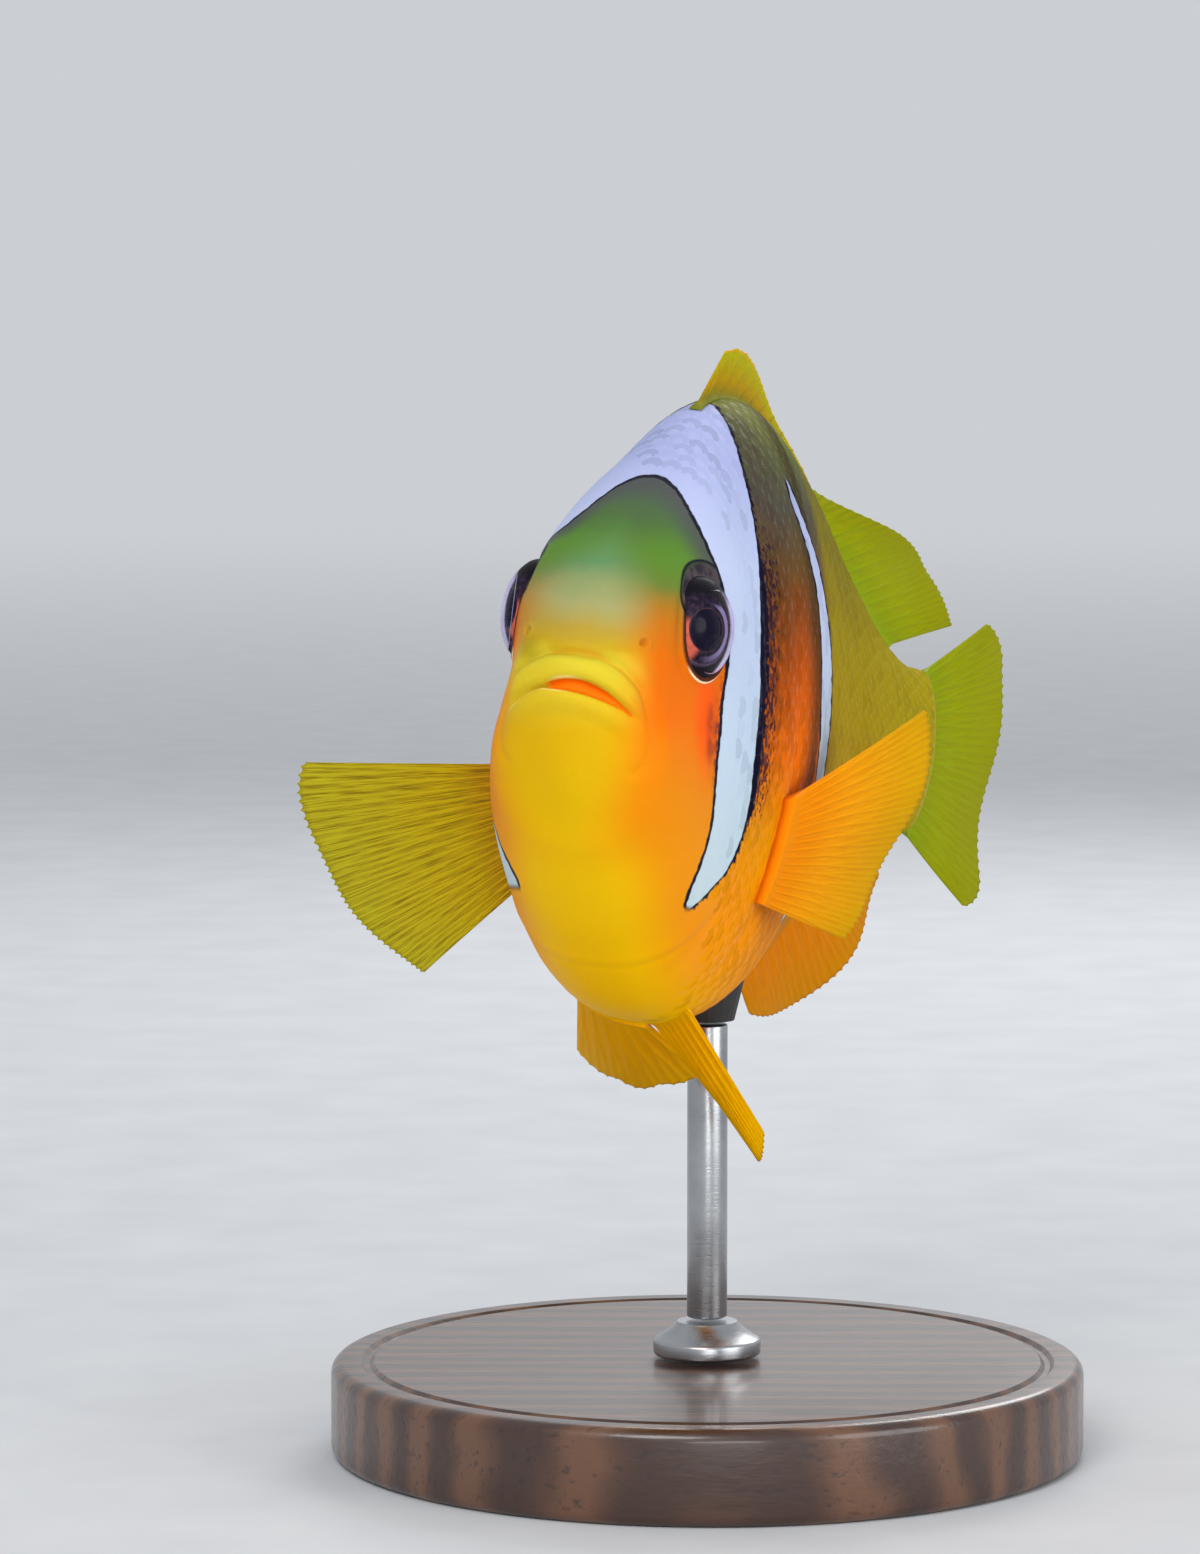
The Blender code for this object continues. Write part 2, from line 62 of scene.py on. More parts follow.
# %% Camera
VIEW_HEIGHT = 103.6 * MM  # what the camera sees at the snout, from top to bottom
CAMERA_DISTANCE = 400 * MM
CAMERA_TILT = math.radians(5)
SNOUT_OFF_CENTRE = Vector((-2.27, 5.8)) * MM  # where the mouth lies from the middle of the view
SENSOR = 36.0
MOUTH_HEIGHT = 60 * MM


def aim(thing, target):
    thing.rotation_euler = (target - thing.location).to_track_quat("-Z", "Y").to_euler()


def add_camera(mouth):
    """Camera that looks along +Y and a little down, with the mouth at its place in the view."""
    forward = Vector((0, math.cos(CAMERA_TILT), -math.sin(CAMERA_TILT)))
    right = Vector((1, 0, 0))
    target = mouth - right * SNOUT_OFF_CENTRE.x - right.cross(forward) * SNOUT_OFF_CENTRE.y
    bpy.ops.object.camera_add(location=target - forward * CAMERA_DISTANCE)
    camera = bpy.context.object
    aim(camera, target)
    camera.data.sensor_width = SENSOR
    camera.data.lens = SENSOR * CAMERA_DISTANCE / VIEW_HEIGHT
    camera.data.clip_start = 0.01
    bpy.context.scene.camera = camera
    print("camera at", [round(value, 4) for value in camera.location], "lens", round(camera.data.lens, 1))


# %% Lamps
LIT_PLACE = Vector((0, 0, 0.05))  # where all the lamps point


def add_lamp(name, place, size, watts):
    bpy.ops.object.light_add(type="AREA", location=place)
    lamp = bpy.context.object
    lamp.name = name
    lamp.data.shape = "DISK"
    lamp.data.size = size
    lamp.data.energy = watts
    aim(lamp, LIT_PLACE)


for lamp in (
    ("key_lamp", (-0.14, -0.44, 0.38), 0.26, 1.32),
    ("fill_lamp", (0.40, -0.30, 0.12), 0.34, 1.0),
    ("low_lamp", (0.04, -0.50, 0.03), 0.20, 0.5),
    ("rim_lamp", (0.10, 0.38, 0.30), 0.25, 0.7),
):
    add_lamp(*lamp)
scene = bpy.context.scene
scene.view_settings.view_transform = "Standard"
scene.view_settings.look = "None"
BACKDROP = (0.60, 0.62, 0.65, 1)
scene.world = bpy.data.worlds.new("studio")
scene.world.use_nodes = True
sky = scene.world.node_tree.nodes["Background"].inputs
sky["Color"].default_value = BACKDROP
sky["Strength"].default_value = 1.0

# %% [markdown]
# ## Helpers for materials
# A material is a small machine of nodes. These helpers add a node and wire its inputs in one line, so that a
# finish reads as a sentence: a ramp of colours along a height, blended into another by a mask. What a node
# puts out can be added, subtracted, multiplied and divided with the plain signs. Colours are written as three
# screen numbers from 0 to 255.


# %% Node helpers
def linear(red, green, blue):
    """Blender's linear colour of a screen colour."""
    shares = [value / 255 for value in (red, green, blue)]
    return tuple(c / 12.92 if c <= 0.04045 else ((c + 0.055) / 1.055) ** 2.4 for c in shares) + (1.0,)


class Value:
    """What a node puts out. A sign beside it adds the math node that the sign stands for."""

    def __init__(self, finish, socket):
        self.finish, self.socket = finish, socket

    def __add__(self, other):
        return self.finish.math("ADD", self, other)

    def __sub__(self, other):
        return self.finish.math("SUBTRACT", self, other)

    def __rsub__(self, other):
        return self.finish.math("SUBTRACT", other, self)

    def __mul__(self, other):
        return self.finish.math("MULTIPLY", self, other)

    def __truediv__(self, other):
        return self.finish.math("DIVIDE", self, other)

    __radd__ = __add__

    def step(self, low, high):
        """0 up to low and 1 from high, smooth between them."""
        return self.finish.node("MapRange", {0: self, 1: low, 2: high}, interpolation_type="SMOOTHSTEP")

    def span(self, low, high):
        """How far the value is from low to high, kept from 0 to 1."""
        return self.finish.node("MapRange", {0: self, 1: low, 2: high})

    def band(self, middle, half, soft=0.5):
        """1 near one value, falling to 0 on both sides of it."""
        return self.finish.spot((self,), (middle,), (half,), soft)

    def ramp(self, *stops):
        """Colour of the value, from (value, red, green, blue) stops."""
        low, high = stops[0][0], stops[-1][0]
        made = self.finish.add("ValToRGB", {0: self.span(low, high)})
        elements = made.color_ramp.elements
        while len(elements) < len(stops):
            elements.new(0.5)
        for element, (place, *colour) in zip(elements, stops):
            element.position = (place - low) / (high - low)
            element.color = linear(*colour)
        return Value(self.finish, made.outputs[0])

    def curve(self, low, high, points, floor, ceiling):
        """Smooth curve through (value, result) points."""
        made = self.finish.add("FloatCurve", {1: self.span(low, high)})
        dots = made.mapping.curves[0].points
        scaled = [((a - low) / (high - low), (b - floor) / (ceiling - floor)) for a, b in sorted(points)]
        while len(dots) < len(scaled):
            dots.new(0.5, 0.5)
        for dot, place in zip(dots, scaled):
            dot.location = place
        made.mapping.update()
        return Value(self.finish, made.outputs[0]) * (ceiling - floor) + floor


class Finish:
    """A new material and short words for the nodes that make its look."""

    def __init__(self, name, roughness, **sockets):
        self.material = bpy.data.materials.new(name)
        self.material.use_nodes = True
        self.tree = self.material.node_tree
        self.shader = self.tree.nodes["Principled BSDF"]
        self.set("Roughness", roughness)
        for socket, value in sockets.items():
            self.set(socket.replace("_", " "), value)

    def wire(self, socket, value):
        """Link a value to a socket, or set a number or colour there."""
        if isinstance(value, Value):
            self.tree.links.new(value.socket, socket)
        else:
            screen = socket.type == "RGBA" and len(value) == 3
            socket.default_value = linear(*value) if screen else value

    def set(self, socket, value):
        self.wire(self.shader.inputs[socket], value)

    def add(self, kind, inputs=(), **settings):
        made = self.tree.nodes.new("ShaderNode" + kind)
        for setting, value in settings.items():
            setattr(made, setting, value)
        for socket, value in dict(inputs).items():
            self.wire(made.inputs[socket], value)
        return made

    def node(self, kind, inputs=(), output=0, **settings):
        """What a new node puts out."""
        return Value(self, self.add(kind, inputs, **settings).outputs[output])

    def math(self, operation, *values):
        return self.node("Math", dict(enumerate(values)), operation=operation)

    def attribute(self, name):
        """The three numbers of a point attribute, and the vector itself."""
        vector = self.node("Attribute", output="Vector", attribute_name=name)
        parts = self.add("SeparateXYZ", {0: vector}).outputs
        return *(Value(self, part) for part in parts), vector

    def here(self):
        return self.node("TexCoord", output="Object")

    def mix(self, factor, first, second, way="MIX"):
        return self.node("Mix", {0: factor, 6: first, 7: second}, 2, data_type="RGBA", blend_type=way)

    def layers(self, colour, *layers):
        """A colour with (mask, colour) layers painted over it in turn."""
        for mask, tint in layers:
            colour = self.mix(mask, colour, tint)
        return colour

    def noise(self, vector, scale, detail=2.0, roughness=0.5):
        inputs = {"Vector": vector, "Scale": scale, "Detail": detail, "Roughness": roughness}
        return self.node("TexNoise", inputs, "Fac")

    def stretched(self, vector, scale):
        """The vector scaled along its three axes, to draw a pattern out."""
        return self.node("Mapping", {"Vector": vector, "Scale": scale})

    def spot(self, values, centre, radii, soft=0.5):
        """1 inside an ellipse or ball, falling to 0 over the outer share of its radius."""
        shares = [(value - middle) / radius for value, middle, radius in zip(values, centre, radii)]
        return self.math("SQRT", sum(self.math("POWER", share, 2) for share in shares)).step(1, 1 - soft)

    def bump(self, height, depth):
        """Surface relief from a height, with its depth in metres."""
        return self.node("Bump", {"Height": height, "Distance": depth, "Strength": 1.0})


# %% [markdown]
# The floor is a plain pale sheet. It only catches the shadow of the stand and isn't part of the object.


# %% Pieces and the floor
def add_primitive(operator, name, **settings):
    """Add a primitive with nothing else selected."""
    if bpy.context.object and bpy.context.object.mode != "OBJECT":
        bpy.ops.object.mode_set(mode="OBJECT")
    bpy.ops.object.select_all(action="DESELECT")
    operator(**settings)
    piece = bpy.context.object
    piece.name = piece.data.name = name
    return piece


def finish_piece(piece, finish, nodes=()):
    """Give a piece its material and its body, and hide the nodes that it stands for."""
    piece.data.materials.clear()
    piece.data.materials.append(finish.material)
    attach(piece, "root")
    if nodes:
        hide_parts(*nodes)
    triangles = sum(len(face.vertices) - 2 for face in piece.data.polygons)
    print(f"{piece.name}: {triangles} triangles")


@contextmanager
def editing():
    """Edit mode with all of the active piece selected. Its faces are turned outwards at the end."""
    bpy.ops.object.mode_set(mode="EDIT")
    bpy.ops.mesh.select_all(action="SELECT")
    yield
    bpy.ops.mesh.select_all(action="SELECT")
    bpy.ops.mesh.normals_make_consistent(inside=False)
    bpy.ops.object.mode_set(mode="OBJECT")


def smooth_outward(piece):
    """Turn every face of a closed mesh outwards and shade it smoothly."""
    bpy.ops.object.select_all(action="DESELECT")
    piece.select_set(True)
    bpy.context.view_layer.objects.active = piece
    with editing():
        pass
    bpy.ops.object.shade_smooth()


def read_rows(items, field, width=3):
    """The same field of every item of a mesh, such as the places of its vertices, one row for each."""
    values = np.zeros(len(items) * width)
    items.foreach_get(field, values)
    return values.reshape(-1, width)


floor = add_primitive(bpy.ops.mesh.primitive_plane_add, "floor", size=6)
paper = Finish("pale_paper", 0.9, Specular_IOR_Level=0.0, Emission_Strength=1.0)
grain = paper.noise(paper.here(), 90, 3)
sheet = grain.ramp((0.3, 204, 206, 209), (0.7, 210, 212, 214))
apart = paper.node("VectorMath", {0: paper.here()}, "Value", operation="LENGTH")
far = apart.step(0.25, 1.6)
paper.set("Base Color", paper.mix(far, sheet, (0, 0, 0)))
paper.set("Emission Color", paper.mix(far, (0, 0, 0), BACKDROP))
floor.data.materials.append(paper.material)

# %% [markdown]
# ## The form of the fish
# The fish is first thought of as swimming straight: X to its left, Y from the snout to the tail, Z up, with
# the mouth at Z = 0. Five smooth curves give its back, belly, width, widest level and the roundness of its
# section. Then the rear of the body bends to the left, and the whole fish is turned and tipped on its stand.

# %% Curves of the body, in millimetres from the snout
NOSE_LENGTH = 5.5 * MM
STANDARD_LENGTH = 88 * MM
BACK = (
    (0, 5.2), (6, 10.0), (12, 14.6), (18, 18.5), (26, 22.5), (35, 23.7), (44, 22.9),
    (54, 20.0), (64, 15.2), (74, 10.8), (82, 8.5), (88, 8.3),
)
BELLY = (
    (0, 5.4), (6, 11.2), (12, 16.4), (20, 20.6), (28, 22.0), (37, 21.2), (48, 18.4),
    (62, 12.8), (74, 7.6), (82, 5.3), (88, 5.1),
)
HALF_WIDTH = (
    (0, 4.8), (6, 7.0), (12, 8.1), (20, 8.9), (28, 9.0), (38, 8.4), (50, 6.9),
    (62, 5.1), (74, 3.3), (88, 1.8),
)
WIDEST_LEVEL = ((0, -1.0), (12, -3.5), (28, -1.5), (50, 0.5), (70, 1.4), (88, 1.7))
BACK_ROUNDNESS = ((0, 2.1), (4, 2.4), (9, 2.8), (14, 2.5), (19, 2.05), (26, 1.85), (40, 1.7), (88, 1.8))
BELLY_ROUNDNESS = ((0, 2.2), (12, 2.3), (26, 2.4), (50, 2.2), (88, 1.8))
CHEEK_HOLLOW = 0.11  # the face is drawn in beside the mouth, round this place, over this reach
HOLLOW_PLACE = (8, 1.5)
HOLLOW_REACH = 6
TAIL_ROUNDING = 1.4 * MM  # the root of the tail fin closes over this length


def through(stations, place):
    """Smooth curve through (place, value) stations in millimetres, read at a place in metres."""
    at = min(max(place / MM, stations[0][0]), stations[-1][0])
    last = len(stations) - 2
    i = min(last, max(k for k in range(len(stations)) if stations[k][0] <= at))
    (x0, y0), (x1, y1) = stations[i], stations[i + 1]
    before, after = stations[max(i - 1, 0)], stations[min(i + 2, last + 1)]
    slope0 = (y1 - before[1]) / (x1 - before[0])
    slope1 = (after[1] - y0) / (after[0] - x0)
    t, length = (at - x0) / (x1 - x0), x1 - x0
    blend0, blend1 = 1 - t * t * (3 - 2 * t), t * t * (3 - 2 * t)
    return y0 * blend0 + y1 * blend1 + length * t * (1 - t) * ((1 - t) * slope0 - t * slope1)


def section(s):
    """(back height, belly depth, half width, widest level) of the straight body, in metres."""
    nose = math.sqrt(max(0.0, 1 - (1 - min(s / NOSE_LENGTH, 1)) ** 2))
    past = min(max(s - STANDARD_LENGTH, 0) / TAIL_ROUNDING, 1)
    share = nose * math.sqrt(1 - past**2)
    return [share * MM * through(shape, s) for shape in (BACK, BELLY, HALF_WIDTH, WIDEST_LEVEL)]


def section_ring(s, shares):
    """Points round the straight body at s. A share of 0 or 1 is the back, a quarter the left flank and a half
    the belly, measured along the skin."""
    back, belly, side, level = section(s)
    powers = 2 / through(BACK_ROUNDNESS, s), 2 / through(BELLY_ROUNDNESS, s)
    angles = np.linspace(0, math.pi, 241)
    up, out = np.cos(angles), np.sin(angles)
    power = np.where(up > 0, *powers)
    z = level + np.sign(up) * np.abs(up) ** power * np.where(up > 0, back - level, belly + level)
    away = np.hypot(s / MM - HOLLOW_PLACE[0], z / MM - HOLLOW_PLACE[1]) / HOLLOW_REACH
    x = out**power * side * (1 - CHEEK_HOLLOW * np.exp(-(away**2)))
    along = np.concatenate(([0], np.cumsum(np.hypot(np.diff(x), np.diff(z)))))
    along /= along[-1]
    half = 2 * np.where(shares > 0.5, 1 - shares, shares)
    side_of = np.where(shares > 0.5, -1, 1)
    return np.interp(half, along, x) * side_of, np.interp(half, along, z)


# %% The bend of the body and the pose on the stand
BEND_START = 42 * MM
BEND_END = 62 * MM
BEND_ANGLE = math.radians(7)
YAW = math.radians(15.5)
PITCH = math.radians(8)
BANK = math.radians(5)
ROD_FROM_SNOUT = 47 * MM


def bent(point):
    """Where a point of the straight fish goes once the rear of the body is curved to the left."""
    radius = (BEND_END - BEND_START) / BEND_ANGLE
    turned = min(max(point.y - BEND_START, 0.0) / radius, BEND_ANGLE)
    past = max(point.y - BEND_END, 0.0)
    before = min(point.y, BEND_START)
    x = radius * (1 - math.cos(turned)) + past * math.sin(turned) + point.x * math.cos(turned)
    y = before + radius * math.sin(turned) + past * math.cos(turned) - point.x * math.sin(turned)
    return Vector((x, y, point.z))


turn = Matrix.Rotation(-YAW, 3, "Z") @ Matrix.Rotation(-PITCH, 3, "X") @ Matrix.Rotation(BANK, 3, "Y")
belly_rest = turn @ bent(Vector((0, ROD_FROM_SNOUT, -MM * through(BELLY, ROD_FROM_SNOUT))))
mouth = Vector((-belly_rest.x, -belly_rest.y, MOUTH_HEIGHT))


def posed(point):
    """World place of a point of the straight fish."""
    return mouth + turn @ bent(Vector(point))


add_camera(mouth)
for name, point in (("tail_stalk", (0, STANDARD_LENGTH, 0)), ("head", (0, 0, 0))):
    low, high, held = *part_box(name), posed(point)
    print(name, "spans", [round(v, 4) for v in (*low, *high)], "and holds", [round(v, 4) for v in held])

# %% [markdown]
# ## One skin from lips to tail
# A real fish has no seams between head and trunk, so one skin stands for all the solids of flesh. It starts
# as a sphere: its poles become the snout and the root of the tail, and each of its rings is moved to a
# section of the body. The rings crowd together on the face, where the mouth, the folds of the lips, the
# nostrils and the sockets of the eyes are pushed in or raised along the normal of the skin.

# %% Places of the rings
SKIN_DEPTH = 0.15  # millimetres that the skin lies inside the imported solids, to leave room for scales
SEGMENTS = 320
NOSE_RINGS = 84
RING_STRETCHES = ((20, 68), (32, 34), (84, 58), (88, 6))  # (end in millimetres, rings) from the nose back
TAIL_RINGS = 5


def ring_places():
    """Distances of the skin's rings from the snout."""
    nose = [NOSE_LENGTH * (1 - math.cos(math.pi / 2 * (k + 1) / NOSE_RINGS)) for k in range(NOSE_RINGS)]
    places = nose
    for end, count in RING_STRETCHES:
        start = places[-1]
        places = places + [start + (end * MM - start) * (k + 1) / count for k in range(count)]
    tail = [STANDARD_LENGTH + TAIL_ROUNDING * math.sin(math.pi / 2 * (k + 1) / (TAIL_RINGS + 1))
            for k in range(TAIL_RINGS)]
    return np.array(places + tail)


rings = ring_places()
print("rings:", len(rings), "vertices:", len(rings) * SEGMENTS + 2)

# %% [markdown]
# The relief of the face is a sum of small forms, each written as a height in millimetres over the bare body.
# The mouth is a shallow arch that opens to a slit. The upper lip is a thick band over it, edged by a crease
# that runs down past the corner of the mouth. The eyes sit in sockets with a raised rim, and the gill cover
# ends in a thin step.


# %% Small forms
def smooth(value, low, high):
    t = np.clip((value - low) / (high - low), 0, 1)
    return t * t * (3 - 2 * t)


def bell(value, middle, width):
    return np.exp(-(((value - middle) / width) ** 2))


MOUTH_HALF = 4.3
MOUTH_CREASE = (
    (0, 2.65), (1.8, 2.55), (3.4, 1.95), (4.6, 0.7), (5.2, -0.8), (5.5, -2.6), (5.3, -4.2), (4.6, -5.0),
)
NOSTRIL = (4.2, 3.9)


def mouth_line(x):
    """Height of the middle of the mouth's slit at x."""
    return 0.42 - 1.55 * (np.abs(x) / 4.2) ** 2.2


def mouth_gap(x):
    """Half the height of the slit at x: it gapes in the middle and closes to a crease at its corners."""
    return 0.04 + 0.37 * np.clip(1 - ((x - 0.9) / 2.8) ** 2, 0, 1) ** 0.8


def distance_to_line(x, z, line):
    """Distance of points from a line of joined segments in the (x, z) plane."""
    nearest = np.full(np.shape(x), 99.0)
    for (x0, z0), (x1, z1) in zip(line, line[1:]):
        dx, dz = x1 - x0, z1 - z0
        share = np.clip(((x - x0) * dx + (z - z0) * dz) / (dx * dx + dz * dz), 0, 1)
        nearest = np.minimum(nearest, np.hypot(x - x0 - share * dx, z - z0 - share * dz))
    return nearest


def mouth_relief(x, s, z):
    """Heights of the lips, and (distance above the slit, half gap, share of the mouth's depth)."""
    front = smooth(s, 9, 6)
    above = z - mouth_line(x)
    gap = mouth_gap(x)
    wide = np.abs(x)
    inside = smooth(np.abs(above), 1.1 * gap + 0.14, 0.7 * gap)
    inside = inside * smooth(wide, MOUTH_HALF + 0.3, MOUTH_HALF - 0.5) * front
    depth = (0.22 + 0.48 * smooth(wide, 3.6, 2.0)) * (1 - 0.5 * smooth(-x, 1.6, 2.6))
    upper = smooth(above, 0.6 * gap, gap + 0.55) * smooth(above, 2.4, 1.3) * smooth(wide, 5.4, 3.6)
    lower = smooth(-above, 0.6 * gap, gap + 0.5) * smooth(-above, 2.3, 0.9) * smooth(wide, 5.0, 3.0)
    crease = distance_to_line(wide, z, MOUTH_CREASE)
    fold = 0.12 * bell(crease, 0.75, 0.5) - 0.20 * bell(crease, 0, 0.24)
    fold = fold * (0.35 + 0.65 * smooth(z, -2.5, 1.0))
    hollow = -0.38 * bell(s, 4.5, 3.2) * bell(z, 0.8, 3.6) * smooth(wide, 3.8, 5.6)
    height = front * (0.40 * upper + 0.28 * lower + fold) + hollow - depth * inside
    return height, above, gap, inside


# %% Eyes in the head
EYE_PLACE = np.array((5.6, 9.9, 5.4))
EYE_RADII = np.array((2.5, 3.7, 3.8))  # outwards, forwards and upwards, in millimetres
EYE_TURN = math.radians(15)


def eye_axes(side):
    """Outward, forward and upward directions of an eye, which looks a little forward."""
    out = np.array((side * math.cos(EYE_TURN), -math.sin(EYE_TURN), 0))
    forward = np.array((-side * math.sin(EYE_TURN), -math.cos(EYE_TURN), 0))
    return out, forward, np.array((0, 0, 1.0))


def eye_shares(points):
    """Forward and upward shares of the eye's radii at points, taken from the eye on their own side."""
    near = np.array(points, float)
    near[..., 0] = np.abs(near[..., 0])
    out, forward, up = eye_axes(1)
    away = near - EYE_PLACE
    shares = away @ forward / EYE_RADII[1], away @ up / EYE_RADII[2]
    ring = np.hypot(*shares)
    return shares[0], shares[1], np.where(away @ out > -3.5, np.minimum(ring, 3), 3)


def eye_relief(ahead, above, ring):
    """The socket under the eye, its raised rim, the groove round it and the brow before it."""
    socket = -1.1 * smooth(ring, 0.80, 0.64)
    rim = 0.24 * bell(ring, 0.87, 0.07) - 0.10 * bell(ring, 1.04, 0.07)
    brow = 0.30 * bell(ring, 1.15, 0.22) * smooth(ahead, 0.0, 0.9) * smooth(above, -0.5, 0.3)
    return socket + rim + brow


# %% Gill cover
def gill_relief(x, s, z):
    """The thin free edge of the gill cover, and the faint edge of the cheek plate before it."""
    edge = 29.6 - np.where(z > -1.5, 6 * ((z + 1.5) / 22) ** 2, 8 * ((z + 1.5) / 20) ** 2)
    plate = smooth(z, 14, 9) * smooth(z, -20, -16)
    step = -0.30 * smooth(s, edge - 0.15, edge + 0.2) * smooth(s, edge + 4.5, edge + 0.2)
    swell = 0.12 * bell(s, edge - 2.5, 2.0)
    cheek_edge = 21.0 - 5.5 * ((z + 4) / 14) ** 2
    cheek = (-0.08 * bell(s, cheek_edge, 0.35) + 0.07 * bell(s, cheek_edge - 1.2, 0.8)) * smooth(z, 6, 2)
    return plate * (step + swell + cheek)


def skin_relief(points):
    """Heights over the bare body in millimetres, with what the markings need to know."""
    x, s, z = points[..., 0], points[..., 1], points[..., 2]
    lips, above_slit, gap, inside = mouth_relief(x, s, z)
    ahead, above, ring = eye_shares(points)
    nostril = np.hypot(np.abs(x) - NOSTRIL[0], z - NOSTRIL[1]) + 9 * smooth(s, 5, 6)
    pits = -0.38 * smooth(nostril, 0.30, 0.10) + 0.07 * bell(nostril, 0.42, 0.13)
    chin = 0.22 * bell(x, 0, 1.6) * bell(z, -6.0, 2.6) * smooth(s, 8, 5)
    height = lips + pits + chin + eye_relief(ahead, above, ring) + gill_relief(x, s, z)
    return height, np.stack((ahead, above, ring), -1), np.stack((above_slit, gap, inside), -1)


# %% The grid of the skin on the straight fish
def straight_grid():
    """Bare points and their outward normals, ring by ring, in millimetres."""
    shares = np.arange(SEGMENTS) / SEGMENTS
    points = np.zeros((len(rings), SEGMENTS, 3))
    for i, s in enumerate(rings):
        x, z = section_ring(s, shares)
        points[i, :, 0], points[i, :, 1], points[i, :, 2] = x / MM, s / MM, z / MM
    round_body = np.roll(points, -1, 1) - np.roll(points, 1, 1)
    along = np.gradient(points, axis=0)
    normals = np.cross(round_body, along)
    return points, normals / np.linalg.norm(normals, axis=2, keepdims=True)


bare, bare_normals = straight_grid()
height, skin_eye, skin_lips = skin_relief(bare)
skin_points = bare + bare_normals * (height - SKIN_DEPTH)[..., None]
reach = np.linalg.norm(np.diff(bare, axis=0), axis=2).mean(1)
ring_reach = np.concatenate(([0.0], np.cumsum(reach))) + np.linalg.norm(bare[0], axis=1).mean()
ring_share = ring_reach / (ring_reach[-1] + 1)  # how far along the unwrapped skin each ring lies
print("relief from", round(float(height.min()), 2), "to", round(float(height.max()), 2), "mm")


# %% Wrap a sphere on the grid
def write_attribute(mesh, name, values):
    mesh.attributes.new(name, "FLOAT_VECTOR", "POINT").data.foreach_set("vector", np.ravel(values))


def world_points(points_mm):
    """World places of straight points given in millimetres."""
    flat = np.reshape(points_mm, (-1, 3)) * MM
    return np.array([posed(point) for point in flat])


def loop_corners(mesh):
    return read_rows(mesh.loops, "vertex_index", 1)[:, 0].astype(int)


def skin_of_sphere():
    last = len(rings) + 1
    sphere = add_primitive(bpy.ops.mesh.primitive_uv_sphere_add, "skin", segments=SEGMENTS, ring_count=last)
    mesh = sphere.data
    across, away, up = read_rows(mesh.vertices, "co").T
    ring = np.rint(np.arccos(np.clip(up, -1, 1)) / math.pi * last).astype(int)
    column = np.rint(-np.arctan2(away, across) / (2 * math.pi) * SEGMENTS).astype(int) % SEGMENTS
    snout, tail = ring == 0, ring == last
    inner = np.clip(ring - 1, 0, len(rings) - 1)
    places, base, eye, lips = (grid[inner, column] for grid in (skin_points, bare, skin_eye, skin_lips))
    snout_height, snout_eye, snout_lips = skin_relief(np.zeros((1, 3)))
    places[snout], base[snout] = (0, SKIN_DEPTH - snout_height[0], 0), 0
    eye[snout], lips[snout] = snout_eye[0], snout_lips[0]
    end = skin_points[-1].mean(0) + (0, 0.08, 0)
    places[tail], base[tail] = end, end
    mesh.vertices.foreach_set("co", world_points(places).ravel())
    for name, values in (("place", base), ("eye", eye), ("lips", lips)):
        write_attribute(mesh, name, values)
    unwrap = mesh.uv_layers[0]
    unwrap.name = "OFBake"
    uv = read_rows(unwrap.uv, "vector", 2)
    uv[:, 1] = np.concatenate(([0.0], ring_share, [1.0]))[ring[loop_corners(mesh)]]
    unwrap.uv.foreach_set("vector", uv.ravel())
    smooth_outward(sphere)
    return sphere


skin = skin_of_sphere()

# %% [markdown]
# ## The markings
# The colours belong to places on the fish: orange flanks, a yellow chin, a grey-green forehead, two white
# bars with black edges and a yellow rear. Every point of the skin and of the scales carries its place on the
# straight fish, in millimetres, so both are painted by the same nodes and the pattern runs through unbroken.

# %% Edges of the bars: (height, distance from the snout) in millimetres
HEAD_BAR_FRONT = (
    (12.1, 11.7), (10.3, 11.9), (7.6, 12.9), (5.4, 13.5), (3, 13.2), (1, 12.9), (-1.5, 12.8),
    (-4, 12.5), (-8.4, 13.0), (-11.2, 13.2), (-12.8, 13.6), (-13.6, 14.4),
)
HEAD_BAR_REAR = (
    (22.4, 26.0), (21.8, 25.3), (19.8, 23.8), (17.8, 22.6), (14.4, 21.3), (11, 20.3), (8.4, 19.5),
    (5.7, 19.1), (1.5, 18.8), (-2.5, 18.8), (-6, 18.9), (-9.5, 18.0), (-12, 15.9), (-13.6, 14.4),
)
BODY_BAR_FRONT = (
    (18.4, 34.0), (17, 33.8), (15, 35.3), (12.6, 37.5), (10, 38.9), (7, 39.3), (3, 39.3), (0, 40.0),
    (-8, 41.6), (-14, 43),
)
BODY_BAR_REAR = (
    (18.4, 34.1), (17, 35.6), (15, 38.0), (13, 40.6), (10, 42.9), (7.4, 44.4), (3, 45.0), (0, 44.9),
    (-8, 44.8), (-14, 43.6),
)
CROWN_FRONT = (  # over the head the front edge is read by the distance to the left of the middle
    (-7, 10.2), (-5, 9.7), (-3.8, 10.2), (-2.7, 11.6), (-1.6, 13.2), (-0.4, 14.1), (0.8, 14.2),
    (2.2, 13.5), (3.6, 12.4), (4.9, 11.7), (7, 11.5),
)

# %% Colours of the fish
WHITE = ((-12, 197, 215, 220), (-2, 191, 208, 224), (10, 190, 200, 230), (18, 166, 172, 214))
NAVY = (16, 12, 34)

